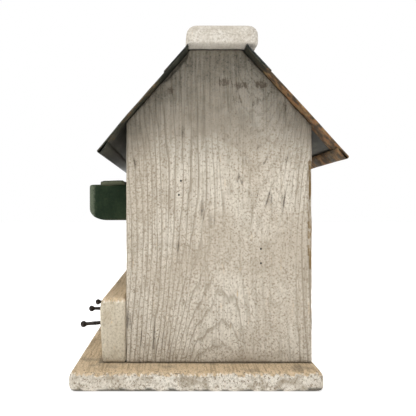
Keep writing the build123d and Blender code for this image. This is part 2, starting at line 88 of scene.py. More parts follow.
def section_slopes() -> tuple[Slope, Slope]:
    """Reads the front and rear roof slopes from the right gable's corners.

    Returns:
        The front slope and the rear slope.
    """
    points = [Vector((v.co.y, v.co.z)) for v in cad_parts["right_gable"].data.vertices]
    top = max(p.y for p in points)
    ridge = [p.x for p in points if p.y > top - 0.1 * MM]
    slopes = []
    for edge_y, ridge_y in ((min(p.x for p in points), min(ridge)), (max(p.x for p in points), max(ridge))):
        eave_z = max(p.y for p in points if abs(p.x - edge_y) < 0.1 * MM)
        slopes.append(make_slope(Vector((ridge_y, top)), Vector((edge_y, eave_z))))
    return slopes[0], slopes[1]


FRONT_SLOPE, REAR_SLOPE = section_slopes()
GABLE_LOW, GABLE_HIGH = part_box("right_gable")
DOOR_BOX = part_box("cleanout_door")


# ---------------------------------------------------------------- shader graphs


class Axis3(Enum):
    """The three axes, by their place in a vector."""

    X = 0
    Y = 1
    Z = 2


class Graph:
    """A small hand for wiring one material's nodes."""

    def __init__(self, name: str) -> None:
        """Starts an empty material with a Principled shader.

        Args:
            name: The material's name.
        """
        self.material = bpy.data.materials.new(name)
        self.material.use_nodes = True
        self.tree = self.material.node_tree
        self.shader = self.tree.nodes["Principled BSDF"]
        self.place = self.node("ShaderNodeTexCoord").outputs["Object"]
        split = self.node("ShaderNodeSeparateXYZ")
        self.tree.links.new(self.place, split.inputs[0])
        self.axes = list(split.outputs)

    def node(self, kind: str) -> bpy.types.Node:
        """Adds a node of a kind."""
        return self.tree.nodes.new(kind)

    def put(self, value: object, socket: bpy.types.NodeSocket) -> None:
        """Links an output to a socket, or sets a plain value on it.

        Args:
            value: The output, or the plain value.
            socket: The socket that takes it.
        """
        if isinstance(value, bpy.types.NodeSocket):
            self.tree.links.new(value, socket)
        else:
            socket.default_value = value

    def math(self, operation: str, a: object, b: object = 0.0, clamp: bool = False) -> bpy.types.NodeSocket:
        """Adds a math node.

        Args:
            operation: The node's operation.
            a: The first value or socket.
            b: The second value or socket.
            clamp: Whether to hold the result between 0 and 1.

        Returns:
            The result's socket.
        """
        made = self.node("ShaderNodeMath")
        made.operation = operation
        made.use_clamp = clamp
        self.put(a, made.inputs[0])
        self.put(b, made.inputs[1])
        return made.outputs[0]

    def add(self, *values: object) -> bpy.types.NodeSocket:
        """Adds up values or sockets.

        Args:
            values: What to add.

        Returns:
            The sum's socket.
        """
        total = values[0]
        for value in values[1:]:
            total = self.math("ADD", total, value)
        return total

    def times(self, a: object, b: object, clamp: bool = False) -> bpy.types.NodeSocket:
        """Multiplies two values or sockets."""
        return self.math("MULTIPLY", a, b, clamp)

    def step(self, value: object, low: float, high: float) -> bpy.types.NodeSocket:
        """Rises smoothly from 0 to 1 as a value goes from low to high.

        Args:
            value: The value or socket.
            low: Where the result is 0.
            high: Where the result is 1. It may be the smaller of the two.

        Returns:
            The result's socket.
        """
        made = self.node("ShaderNodeMapRange")
        made.interpolation_type = "SMOOTHSTEP"
        self.put(value, made.inputs["Value"])
        made.inputs["From Min"].default_value = low
        made.inputs["From Max"].default_value = high
        return made.outputs["Result"]

    def stretched(self, scale: Sequence[float], shift: float = 0.0) -> bpy.types.NodeSocket:
        """Stretches the object's coordinates.

        Args:
            scale: The scale on each axis.
            shift: How far the pattern is shifted.

        Returns:
            The coordinates' socket.
        """
        made = self.node("ShaderNodeMapping")
        self.put(self.place, made.inputs["Vector"])
        made.inputs["Scale"].default_value = scale
        made.inputs["Location"].default_value = (shift, 0.7 * shift, 1.3 * shift)
        return made.outputs[0]

    def noise(self, scale: float, detail: float = 4.0, roughness: float = 0.55, where: object = None,
              shift: float = 0.0) -> bpy.types.NodeSocket:
        """Adds a noise texture.

        Args:
            scale: Features per metre, or per unit of where.
            detail: Octaves.
            roughness: How strong the finer octaves are.
            where: Coordinates, or None for the object's own.
            shift: A shift that gives another pattern of the same kind.

        Returns:
            The socket of its value, about 0.5 on average.
        """
        made = self.node("ShaderNodeTexNoise")
        place = where if where is not None else self.stretched((1, 1, 1), shift)
        self.put(place, made.inputs["Vector"])
        made.inputs["Scale"].default_value = scale
        made.inputs["Detail"].default_value = detail
        made.inputs["Roughness"].default_value = roughness
        return made.outputs["Fac"]

    def cells(self, scale: float, shift: float = 0.0) -> bpy.types.NodeSocket:
        """Adds a Voronoi texture.

        Args:
            scale: Cells per metre.
            shift: A shift that gives another pattern of the same kind.

        Returns:
            The socket of the distance to the nearest cell's point.
        """
        made = self.node("ShaderNodeTexVoronoi")
        made.feature = "F1"
        self.put(self.stretched((1, 1, 1), shift), made.inputs["Vector"])
        made.inputs["Scale"].default_value = scale
        return made.outputs["Distance"]

    def mix(self, amount: object, a: object, b: object, blend: str = "MIX") -> bpy.types.NodeSocket:
        """Mixes two colours.

        Args:
            amount: How much of the second, as a value or socket.
            a: The first colour or socket.
            b: The second colour or socket.
            blend: The node's blend type.

        Returns:
            The mixed colour's socket.
        """
        made = self.node("ShaderNodeMix")
        made.data_type = "RGBA"
        made.blend_type = blend
        self.put(amount, made.inputs[0])
        for value, socket in ((a, made.inputs[6]), (b, made.inputs[7])):
            self.put((*value, 1.0) if isinstance(value, tuple) else value, socket)
        return made.outputs[2]

    def attribute(self, name: str) -> bpy.types.NodeSocket:
        """Reads a number painted on the mesh's points.

        Args:
            name: The attribute's name.

        Returns:
            The number's socket.
        """
        made = self.node("ShaderNodeAttribute")
        made.attribute_name = name
        return made.outputs["Fac"]

    def bump(self, height: object, strength: float, distance: float) -> None:
        """Gives the shader a bump from a height.

        Args:
            height: The height's socket.
            strength: How much of the bump is used, from 0 to 1.
            distance: How tall a height of 1 is.
        """
        made = self.node("ShaderNodeBump")
        made.inputs["Strength"].default_value = strength
        made.inputs["Distance"].default_value = distance
        self.put(height, made.inputs["Height"])
        self.put(made.outputs[0], self.shader.inputs["Normal"])

    def finish(self, colour: object, roughness: object, metallic: object = 0.0,
               specular: float = 0.35) -> bpy.types.Material:
        """Wires the shader's main inputs.

        Args:
            colour: The base colour.
            roughness: The roughness.
            metallic: How metallic it is.
            specular: The level of the clear reflection, the same all over.

        Returns:
            The finished material.
        """
        self.put(colour, self.shader.inputs["Base Color"])
        self.put(roughness, self.shader.inputs["Roughness"])
        self.put(metallic, self.shader.inputs["Metallic"])
        self.shader.inputs["Specular IOR Level"].default_value = specular
        return self.material


@dataclass(frozen=True)
class Cut:
    """How a board was sawn from the log: where the pith runs and how it bows."""

    along: Axis3
    across: Axis3
    depth: Axis3
    across_at: float = 0.0
    along_at: float = 0.0
    pith: float = 0.06
    bow: float = 1.25
    lean: float = 0.0
    ring: float = 0.0046


@dataclass(frozen=True)
class WoodGrain:
    """Growth rings and fibres for one board."""

    cut: Cut
    shift: float = 0.0

    def rings(self, graph: Graph) -> bpy.types.NodeSocket:
        """Draws the growth rings, in cathedral arches where the saw met them.

        Args:
            graph: The material being wired.

        Returns:
            A socket that is 1 in late wood and 0 in early wood.
        """
        cut = self.cut
        stretch = [34.0, 34.0, 34.0]
        stretch[cut.along.value] = 3.6
        wander = graph.noise(1.0, 3.0, 0.5, graph.stretched(stretch, self.shift))
        along = graph.math("SUBTRACT", graph.axes[cut.along.value], cut.along_at)
        across = graph.math("SUBTRACT", graph.axes[cut.across.value], cut.across_at)
        middle = graph.math("SUBTRACT", 1.0, graph.step(graph.math("ABSOLUTE", across), 0.035, 0.095))
        across = graph.math("SUBTRACT", across, graph.times(graph.times(along, cut.lean), middle))
        bowed = graph.times(graph.times(along, along), cut.bow)
        deep = graph.math("SUBTRACT", cut.pith, graph.axes[cut.depth.value])
        deep = graph.math("SUBTRACT", deep, bowed)
        radius = graph.math("SQRT", graph.add(graph.times(across, across), graph.times(deep, deep)))
        stretch = [150.0, 150.0, 150.0]
        stretch[cut.along.value] = 11.0
        shiver = graph.noise(1.0, 3.0, 0.6, graph.stretched(stretch, self.shift + 9.0))
        radius = graph.add(radius, graph.times(wander, 0.014), graph.times(shiver, 0.004))
        turn = graph.math("FRACT", graph.math("DIVIDE", radius, cut.ring))
        rise = graph.step(turn, 0.60, 0.85)
        fall = graph.step(turn, 0.86, 0.94)
        return graph.math("SUBTRACT", rise, fall, True)

    def fibres(self, graph: Graph, fine: float = 520.0) -> bpy.types.NodeSocket:
        """Draws fine streaks that run along the board.

        Args:
            graph: The material being wired.
            fine: Streaks per metre across the board.

        Returns:
            The streaks' socket, about 0.5 on average.
        """
        stretch = [fine, fine, fine]
        stretch[self.cut.along.value] = fine / 26.0
        return graph.noise(1.0, 3.0, 0.6, graph.stretched(stretch, self.shift + 3.0))


@dataclass(frozen=True)
class DistressedPaint:
    """Old cream paint on board, rubbed through along the grain and at the edges."""

    name: str
    cut: Cut
    paint: Colour = (0.52, 0.455, 0.365)
    pale: Colour = (0.68, 0.625, 0.53)
    stained: Colour = (0.37, 0.315, 0.24)
    grain: Colour = (0.235, 0.185, 0.125)
    tan: Colour = (0.66, 0.50, 0.315)
    chalk: Colour = (0.85, 0.80, 0.71)
    wood: Colour = (0.30, 0.205, 0.095)
    wood_dark: Colour = (0.10, 0.066, 0.035)
    # the dark colour for dirt and for painted shade
    grime_and_shade: Colour = (0.085, 0.078, 0.060)
    mark: Colour = (0.078, 0.060, 0.042)
    rubbed: float = 0.6
    streaked: float = 0.45
    blotch: float = 0.4
    fleck: float = 0.75
    edge_wear: float = 0.2
    shift: float = 0.0

    def build(self) -> bpy.types.Material:
        """Wires the finish.

        Returns:
            The material.
        """
        graph = Graph(self.name)
        grain = WoodGrain(self.cut, self.shift)
        late = grain.rings(graph)
        fibre = grain.fibres(graph)
        coarse = grain.fibres(graph, 190.0)
        cloud = graph.noise(13.0, 4.0, 0.6, shift=self.shift)
        patch = graph.noise(60.0, 5.0, 0.65, shift=self.shift + 5.0)
        speck = graph.noise(480.0, 4.0, 0.8, shift=self.shift)
        edge = graph.attribute("edge")
        thin_and_sheen = graph.attribute("thin_and_sheen")
        raised = graph.attribute("raised")
        grime_and_shade_mask = graph.attribute("grime_and_shade")
        marked = graph.attribute("mark")

        chalky = graph.step(graph.add(cloud, graph.times(speck, 0.9)), 0.84, 1.12)
        colour = graph.mix(chalky, self.paint, self.pale)
        colour = graph.mix(graph.times(graph.step(patch, 0.48, 0.66), self.blotch), colour, self.stained)
        hairs = graph.noise(1.0, 3.0, 0.6, graph.stretched((430.0, 430.0, 50.0), self.shift))
        ragged = graph.add(thin_and_sheen, graph.times(coarse, 0.6), graph.times(speck, 0.6), graph.times(hairs, 1.2))
        colour = graph.mix(graph.times(graph.step(ragged, 1.42, 1.62), 0.92), colour, self.tan)
        lip = graph.math("SUBTRACT", graph.step(thin_and_sheen, 0.06, 0.25), graph.step(thin_and_sheen, 0.45, 0.66), True)
        bristled = graph.times(lip, graph.times(graph.step(hairs, 0.48, 0.58), 0.85))
        colour = graph.mix(bristled, colour, self.chalk)
        browned = graph.times(graph.step(graph.add(fibre, graph.times(patch, 0.4)), 0.66, 0.86), thin_and_sheen, True)
        colour = graph.mix(graph.times(browned, 0.55), colour, self.wood)
        colour = graph.mix(graph.times(graph.step(speck, 0.49, 0.36), self.fleck), colour, self.grain)

        held = graph.step(graph.add(cloud, graph.times(raised, 0.5), graph.times(coarse, 0.4)), 0.60, 1.0)
        showing = graph.times(late, graph.add(0.09, graph.times(held, 0.91)))
        showing = graph.times(showing, graph.add(0.45, graph.times(graph.step(speck, 0.40, 0.58), 0.55)))
        colour = graph.mix(graph.times(showing, self.rubbed, True), colour, self.grain)
        streak = graph.times(graph.step(graph.add(fibre, graph.times(held, 0.09)), 0.53, 0.70), self.streaked)
        colour = graph.mix(streak, colour, self.grain)

        rub = graph.add(edge, graph.times(patch, 0.5), graph.times(fibre, 0.3))
        bare = graph.step(rub, 1.5 - self.edge_wear, 1.62 - self.edge_wear)
        darkness = graph.add(graph.times(late, 0.3), graph.times(fibre, 0.45))
        timber = graph.mix(darkness, self.wood, self.wood_dark)
        colour = graph.mix(bare, colour, timber)

        spots = graph.math("LESS_THAN", graph.cells(120.0, shift=self.shift), 0.05)
        spots = graph.times(spots, graph.step(patch, 0.52, 0.6))
        colour = graph.mix(graph.times(spots, 0.8), colour, self.wood_dark)
        # darkened from a mesh attribute and broken up by grit: real dirt in places, and painted shade under
        # the cap, under the eaves and along the roof slopes
        gritty = graph.add(graph.times(patch, 0.6), graph.times(speck, 1.9), graph.times(fibre, 0.5))
        soot_and_shade = graph.times(grime_and_shade_mask, graph.math("SUBTRACT", gritty, 0.5), True)
        colour = graph.mix(soot_and_shade, colour, self.grime_and_shade)
        blot = graph.add(graph.times(marked, 0.7), graph.times(late, 0.3), graph.times(speck, 1.5))
        blot = graph.step(graph.add(blot, graph.times(fibre, 0.7)), 1.42, 1.85)
        blot = graph.times(blot, graph.step(marked, 0.03, 0.25))
        colour = graph.mix(graph.times(blot, 0.82), colour, self.mark)

        height = graph.add(
            graph.times(late, -0.45), graph.times(fibre, 0.55), graph.times(bare, -0.9),
            graph.times(patch, 0.8), graph.times(speck, 0.9),
        )
        graph.bump(height, 0.9, 0.9 * MM)
        rough = graph.add(0.66, graph.times(patch, 0.25))
        return graph.finish(colour, rough, specular=0.25)


@dataclass(frozen=True)
class BareTimber:
    """Unpainted board, as inside the house."""

    name: str
    cut: Cut
    light: Colour = (0.36, 0.25, 0.14)
    dark: Colour = (0.17, 0.10, 0.05)
    shift: float = 0.0

    def build(self) -> bpy.types.Material:
        """Wires the finish.

        Returns:
            The material.
        """
        graph = Graph(self.name)
        grain = WoodGrain(self.cut, self.shift)
        late = grain.rings(graph)
        fibre = grain.fibres(graph)
        patch = graph.noise(30.0, 4.0, shift=self.shift)
        shade = graph.add(graph.times(late, 0.5), graph.times(fibre, 0.45), graph.times(patch, 0.2))
        colour = graph.mix(graph.step(shade, 0.2, 1.0), self.light, self.dark)
        graph.bump(graph.add(graph.times(late, -0.4), fibre), 0.4, 0.5 * MM)
        return graph.finish(colour, graph.add(0.6, graph.times(fibre, 0.3)), specular=0.2)


@dataclass(frozen=True)
class RustyTin:
    """Thin old roofing tin, dark with age and rusting at its folds."""

    name: str
    tin: Colour = (0.030, 0.033, 0.026)
    scuffed: Colour = (0.095, 0.098, 0.078)
    rust: Colour = (0.26, 0.12, 0.045)
    ochre: Colour = (0.27, 0.19, 0.095)
    scale: Colour = (0.065, 0.045, 0.026)
    film: Colour = (0.125, 0.105, 0.055)
    rusting: float = 0.4
    shift: float = 0.0

    def build(self) -> bpy.types.Material:
        """Wires the finish.

        Returns:
            The material.
        """
        graph = Graph(self.name)
        cloud = graph.noise(26.0, 6.0, 0.66, shift=self.shift)
        fleck = graph.noise(210.0, 5.0, 0.75, shift=self.shift + 2.0)
        drawn = graph.noise(1.0, 5.0, 0.65, graph.stretched((13.0, 75.0, 75.0), self.shift))
        folded = graph.attribute("fold")
        eaten = graph.add(
            graph.times(cloud, 0.75), graph.times(fleck, 0.55), graph.times(folded, 0.42), self.rusting - 0.4
        )
        rusted = graph.step(eaten, 0.74, 0.95)
        hue = graph.mix(graph.step(fleck, 0.42, 0.62), self.rust, self.ochre)
        scaly = graph.step(graph.noise(95.0, 5.0, 0.7, shift=self.shift + 7.0), 0.42, 0.58)
        hue = graph.mix(scaly, hue, self.scale)
        metal = graph.mix(graph.step(drawn, 0.46, 0.72), self.tin, self.scuffed)
        film = graph.times(folded, graph.step(graph.add(fleck, graph.times(drawn, 0.5)), 0.55, 0.95))
        metal = graph.mix(graph.times(film, 0.9), metal, self.film)
        colour = graph.mix(rusted, metal, hue)
        height = graph.add(graph.times(fleck, 0.6), graph.times(rusted, 0.5), graph.times(drawn, 0.3))
        graph.bump(height, 0.5, 0.4 * MM)
        rough = graph.add(0.42, graph.times(rusted, 0.38), graph.times(fleck, 0.12))
        shine = graph.math("SUBTRACT", 0.55, graph.times(rusted, 0.5), True)
        return graph.finish(colour, rough, shine, specular=0.4)


@dataclass(frozen=True)
class GreenPaint:
    """Dark green paint on wood, worn paler along the edges."""

    name: str
    paint: Colour = (0.006, 0.017, 0.006)
    faded: Colour = (0.020, 0.036, 0.015)
    # pale green for chalky scuffs, and for the painted highlight on the window box's rounded corners
    rubbed: Colour = (0.115, 0.135, 0.090)
    worn: Colour = (0.062, 0.052, 0.024)
    edge_wear: float = 0.4
    shift: float = 0.0

    def build(self) -> bpy.types.Material:
        """Wires the finish.

        Returns:
            The material.
        """
        graph = Graph(self.name)
        cloud = graph.noise(35.0, 5.0, 0.6, shift=self.shift)
        brushed = graph.noise(1.0, 4.0, 0.6, graph.stretched((30.0, 420.0, 420.0), self.shift))
        edge = graph.attribute("edge")
        fading = graph.step(graph.add(cloud, graph.times(brushed, 0.4)), 0.55, 0.95)
        colour = graph.mix(fading, self.paint, self.faded)
        scuffs = graph.noise(420.0, 4.0, 0.7, shift=self.shift + 2.0)
        # paler where scuffed, and where the box's rounded corners carry a painted highlight
        chalky = graph.step(graph.add(graph.attribute("thin_and_sheen"), graph.times(scuffs, 0.9)), 0.75, 1.25)
        colour = graph.mix(graph.times(chalky, 0.85), colour, self.rubbed)
        colour = graph.mix(graph.times(graph.step(scuffs, 0.56, 0.7), 0.35), colour, self.worn)
        rub = graph.add(edge, graph.times(cloud, 0.7), graph.times(brushed, 0.3))
        colour = graph.mix(graph.step(rub, 1.45 - self.edge_wear, 1.75 - self.edge_wear), colour, self.worn)
        graph.bump(graph.add(brushed, graph.times(cloud, 0.6), scuffs), 0.45, 0.4 * MM)
        return graph.finish(colour, graph.add(0.42, graph.times(brushed, 0.3)), specular=0.16)


@dataclass(frozen=True)
class AgedMetal:
    """Plain old metal, dulled and spotted: iron, steel or brass."""

    name: str
    metal: Colour = (0.045, 0.038, 0.034)
    tarnish: Colour = (0.018, 0.015, 0.013)
    spots: Colour = (0.10, 0.05, 0.025)
    shine: float = 0.6
    rough: float = 0.5
    grain: float = 260.0
    shift: float = 0.0

    def build(self) -> bpy.types.Material:
        """Wires the finish.

        Returns:
            The material.
        """
        graph = Graph(self.name)
        cloud = graph.noise(self.grain, 4.0, 0.6, shift=self.shift)
        fleck = graph.noise(4.0 * self.grain, 3.0, 0.6, shift=self.shift + 4.0)
        colour = graph.mix(graph.step(cloud, 0.38, 0.62), self.metal, self.tarnish)
        spotted = graph.step(fleck, 0.58, 0.68)
        colour = graph.mix(graph.times(spotted, 0.7), colour, self.spots)
        graph.bump(graph.add(cloud, graph.times(fleck, 0.4)), 0.35, 0.25 * MM)
        rough = graph.add(self.rough - 0.1, graph.times(cloud, 0.2), graph.times(spotted, 0.2))
        shine = graph.math("SUBTRACT", self.shine, graph.times(spotted, 0.4), True)
        return graph.finish(colour, rough, shine)


@dataclass(frozen=True)
class StudioFloor:
    """The plain pale floor."""

    name: str = "studio_floor"
    pale: Colour = (0.86, 0.86, 0.86)
    glow: float = 0.62
    far_glow: float = 0.35

    def build(self) -> bpy.types.Material:
        """Wires the finish.

        Returns:
            The material.
        """
        graph = Graph(self.name)
        cloud = graph.noise(2.0, 2.0)
        colour = graph.mix(graph.times(cloud, 0.04), self.pale, (1.0, 1.0, 1.0))
        graph.shader.inputs["Emission Color"].default_value = (1.0, 1.0, 1.0, 1.0)
        far = graph.math("SQRT", graph.add(*(graph.times(axis, axis) for axis in graph.axes[:2])))
        graph.put(graph.add(self.glow, graph.times(graph.step(far, 0.5, 2.0), self.far_glow)),
                  graph.shader.inputs["Emission Strength"])
        return graph.finish(colour, 0.9, specular=0.1)


# ---------------------------------------------------------------- mesh tools


def object_from(data: bpy.types.ID, name: str) -> bpy.types.Object:
    """Puts a mesh, or a lamp's or camera's data, in the scene as an object at the origin.

    Args:
        data: The mesh, lamp or camera data.
        name: The object's name.

    Returns:
        The object.
    """
    made = bpy.data.objects.new(name, data)
    bpy.context.scene.collection.objects.link(made)
    return made


def mesh_from(form: bmesh.types.BMesh, name: str) -> bpy.types.Mesh:
    """Turns a form into a mesh and frees it.

    Args:
        form: The form.
        name: The mesh's name.

    Returns:
        The mesh.
    """
    mesh = bpy.data.meshes.new(name)
    form.to_mesh(mesh)
    form.free()
    return mesh


def turned_mesh(name: str, rings: Sequence[Sequence[Vector]]) -> bpy.types.Mesh:
    """Makes a closed turned form from rings of points.

    Args:
        name: The mesh's name.
        rings: Rings of equal length, from one end to the other.

    Returns:
        The mesh, capped at both ends.
    """
    form = bmesh.new()
    made = [[form.verts.new(point) for point in ring] for ring in rings]
    for ring, after in zip(made, made[1:]):
        for index in range(len(ring)):
            other = (index + 1) % len(ring)
            form.faces.new((ring[index], ring[other], after[other], after[index]))
    form.faces.new(made[0])
    form.faces.new(made[-1])
    bmesh.ops.recalc_face_normals(form, faces=form.faces)
    return mesh_from(form, name)


def settled(piece: bpy.types.Object) -> bpy.types.Object:
    """Turns a piece's modifiers into plain mesh.

    Args:
        piece: The object, with live modifiers.

    Returns:
        The same object, with the result as its mesh and no modifiers.
    """
    graph = bpy.context.evaluated_depsgraph_get()
    mesh = bpy.data.meshes.new_from_object(piece.evaluated_get(graph), depsgraph=graph)
    piece.modifiers.clear()
    piece.data = mesh
    return piece


def hull_mesh(node: str) -> bpy.types.Mesh:
    """Makes the convex outer form of a CAD node, without its bored holes.

    Args:
        node: The CAD node's name.

    Returns:
        A closed mesh with flat faces joined.
    """
    form = bmesh.new()
    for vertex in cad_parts[node].data.vertices:
        form.verts.new(vertex.co)
    bmesh.ops.remove_doubles(form, verts=form.verts, dist=0.02 * MM)
    made = bmesh.ops.convex_hull(form, input=form.verts)
    loose = {v for v in made["geom_interior"] if isinstance(v, bmesh.types.BMVert)}
    bmesh.ops.delete(form, geom=list(loose), context="VERTS")
    bmesh.ops.dissolve_limit(form, angle_limit=math.radians(0.5), verts=form.verts, edges=form.edges)
    bmesh.ops.recalc_face_normals(form, faces=form.faces)
    return mesh_from(form, node + "_form")


def main_planes(mesh: bpy.types.Mesh, share: float = 0.012) -> list[tuple[Vector, float]]:
    """Lists a convex form's large flat faces.

    Args:
        mesh: The form.
        share: The least share of the whole surface that counts as large.

    Returns:
        Each face's outward normal and its distance from the origin along it.
    """
    total = sum(face.area for face in mesh.polygons)
    return [
        (face.normal.copy(), face.normal.dot(face.center))
        for face in mesh.polygons
        if face.area > share * total
    ]


def cut_away(piece: bpy.types.Object, cutters: Sequence[bpy.types.Object]) -> None:
    """Cuts solid forms from a piece and removes them.

    Args:
        piece: The piece.
        cutters: The forms to cut away.
    """
    for cutter in cutters:
        cut = piece.modifiers.new("cut", "BOOLEAN")
        cut.operation = "DIFFERENCE"
        cut.solver = "MANIFOLD"
        cut.object = cutter
    settled(piece)
    for cutter in cutters:
        bpy.data.objects.remove(cutter)


def box_form(low: Sequence[float], high: Sequence[float]) -> bpy.types.Object:
    """Makes a plain box for cutting.

    Args:
        low: Its lowest corner.
        high: Its highest corner.

    Returns:
        The box.
    """
    form = bmesh.new()
    middle = [(a + b) / 2 for a, b in zip(low, high)]
    size = [b - a for a, b in zip(low, high)]
    place = Matrix.Translation(middle) @ Matrix.Diagonal((*size, 1.0))
    bmesh.ops.create_cube(form, size=1.0, matrix=place)
    return object_from(mesh_from(form, "cutter"), "cutter")


def bore_form(middle: Sequence[float], radius: float, length: float) -> bpy.types.Object:
    """Makes a round bar along Y for cutting.

    Args:
        middle: Its middle.
        radius: Its radius.
        length: Its length.

    Returns:
        The bar.
    """
    form = bmesh.new()
    place = Matrix.Translation(middle) @ Matrix.Rotation(math.pi / 2, 4, "X")
    bmesh.ops.create_cone(
        form, cap_ends=True, segments=64, radius1=radius, radius2=radius, depth=length, matrix=place
    )
    return object_from(mesh_from(form, "cutter"), "cutter")


def paint_points(mesh: bpy.types.Mesh, name: str, values: Sequence[float]) -> None:
    """Stores a number on each of a mesh's points.

    Args:
        mesh: The mesh.
        name: The attribute's name.
        values: One number for each point.
    """
    made = mesh.attributes.get(name) or mesh.attributes.new(name, "FLOAT", "POINT")
    made.data.foreach_set("value", values)


def smooth(mesh: bpy.types.Mesh) -> None:
    """Shades every face smooth."""
    mesh.polygons.foreach_set("use_smooth", [True] * len(mesh.polygons))


def enlist(piece: bpy.types.Object, material: bpy.types.Material, body: str, slot: str, *nodes: str) -> None:
    """Dresses a finished piece, parents it to its body and hides the CAD nodes that it stands for.

    Args:
        piece: The finished object.
        material: Its finish.
        body: The body that it rides on.
        slot: Not used.
        nodes: The CAD nodes that it stands for.
    """
    piece.data.materials.clear()
    piece.data.materials.append(material)
    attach(piece, body)
    if nodes:
        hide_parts(*nodes)
    LOG.info("%s: %d faces on %s", piece.name, len(piece.data.polygons), body)


# ---------------------------------------------------------------- worn boards


Paint = Callable[[Vector], float]
Facing = Callable[[Vector], Vector]


def nowhere(_point: Vector) -> float:
    """Returns 0 for every point."""
    return 0.0


@dataclass
class WornBoard:
    """A board from the frame, with its edges and faces worn by hand and weather."""

    node: str
    finish: bpy.types.Material
    slot: str = "distressed_white"
    body: str = "house"
    grid: float = 2.0 * MM
    reach: float = 5.0 * MM
    rub: float = 4.0 * MM
    bite: float = 0.9 * MM
    chip: float = 1.6 * MM
    swell: float = 0.18 * MM
    seed: float = 0.0
    cutters: list[bpy.types.Object] = field(default_factory=list)
    thin_and_sheen: Paint = nowhere
    raised: Paint = nowhere
    # darkening: real dirt, and painted shade on boards under the roof and the cap
    grime_and_shade: Paint = nowhere
    mark: Paint = nowhere
    extra_edge: Paint = nowhere
    broken: Paint = nowhere

    def build(self) -> bpy.types.Object:
        """Builds, wears and dresses the board.

        Returns:
            The finished piece.
        """
        form = hull_mesh(self.node)
        planes = main_planes(form)
        piece = object_from(form, self.node + "_worn")
        if self.cutters:
            cut_away(piece, self.cutters)
        remesh = piece.modifiers.new("grid", "REMESH")
        remesh.mode = "VOXEL"
        remesh.voxel_size = self.grid
        ease = piece.modifiers.new("ease", "SMOOTH")
        ease.factor = 0.5
        ease.iterations = 2
        settled(piece)
        self.wear(piece.data, planes)
        smooth(piece.data)
        enlist(piece, self.finish, self.body, self.slot, self.node)
        return piece

    def wear(self, mesh: bpy.types.Mesh, planes: Sequence[tuple[Vector, float]]) -> None:
        """Moves the points in near the edges and paints how worn each one is.

        Args:
            mesh: The board's fine mesh.
            planes: The board's main faces.
        """
        drift = Vector((self.seed, 2.0 * self.seed, -self.seed))
        edges: list[float] = []
        rules = {"thin_and_sheen": self.thin_and_sheen, "raised": self.raised, "grime_and_shade": self.grime_and_shade, "mark": self.mark}
        painted: dict[str, list[float]] = {name: [] for name in rules}
        for vertex in mesh.vertices:
            point = vertex.co.copy()
            near = sorted(
                (offset - normal.dot(point), index) for index, (normal, offset) in enumerate(planes)
            )
            gap = max(near[1][0], 0.0)
            inward = -(planes[near[0][1]][0] + planes[near[1][1]][0]).normalized()
            coarse = noise.fractal(point * 45.0 + drift, 1.0, 2.0, 3)
            fine = noise.noise(point * 210.0 - drift)
            edge = max(0.0, 1.0 - gap / self.reach)
            loss = self.bite * (0.45 + 0.55 * coarse + 0.35 * fine)
            loss += self.chip * max(0.0, coarse + 0.5 * fine - 0.42)
            vertex.co += inward * (max(0.0, loss) + self.broken(point)) * edge * edge
            vertex.co -= planes[near[0][1]][0] * self.swell * (0.5 + 0.5 * coarse)
            rim = self.extra_edge(point)
            edges.append(max(0.0, 1.0 - gap / self.rub, rim))
            for name, rule in rules.items():
                painted[name].append(rule(point))
        paint_points(mesh, "edge", edges)
        for name, values in painted.items():
            paint_points(mesh, name, values)


def fade(value: float, start: float, end: float) -> float:
    """Goes smoothly from 0 at start to 1 at end.

    Args:
        value: The value.
        start: Where the result is 0.
        end: Where the result is 1.

    Returns:
        The result.
    """
    part = min(1.0, max(0.0, (value - start) / (end - start)))
    return part * part * (3.0 - 2.0 * part)


# dark marks in the gable's grain: (Y, Z, half width, half height) in mm, and how dark
GRAIN_MARKS = (
    (5.7, 171.0, 1.9, 11.0, 0.75), (15.6, 160.0, 1.6, 7.0, 0.6), (40.0, 158.0, 2.4, 4.0, 0.5),
    (73.0, 180.0, 2.6, 10.0, 0.75), (87.0, 179.0, 1.8, 9.0, 0.7), (50.0, 218.0, 4.5, 2.4, 0.6),
    (71.0, 217.0, 2.4, 6.0, 0.6), (90.0, 221.0, 1.8, 4.0, 0.5), (-59.0, 216.0, 1.6, 4.0, 0.7),
    (-18.0, 134.0, 1.4, 4.0, 0.6), (-25.0, 288.0, 2.6, 3.0, 1.0), (28.0, 296.0, 7.0, 3.2, 0.95),
    (45.0, 293.0, 9.0, 2.4, 0.85), (64.0, 294.0, 8.0, 3.4, 0.95), (60.0, 276.0, 4.0, 3.0, 0.7),
    (42.0, 279.0, 8.0, 2.2, 0.6), (-40.0, 44.0, 2.0, 17.0, 0.6), (-33.0, 40.0, 1.8, 13.0, 0.5),
    (-53.0, 41.0, 1.6, 8.0, 0.5), (-26.0, 36.0, 1.4, 12.0, 0.35), (-12.0, 246.0, 1.5, 6.0, 0.55),
    (34.0, 66.0, 9.0, 9.0, 0.28), (56.0, 186.0, 9.0, 2.4, 0.45), (44.0, 200.0, 2.2, 12.0, 0.4),
    (-66.0, 61.0, 2.2, 11.0, 0.85), (-67.0, 36.0, 1.6, 9.0, 0.5), (63.0, 236.0, 1.6, 18.0, 0.35),
    (88.0, 272.0, 2.0, 4.0, 0.6),
)


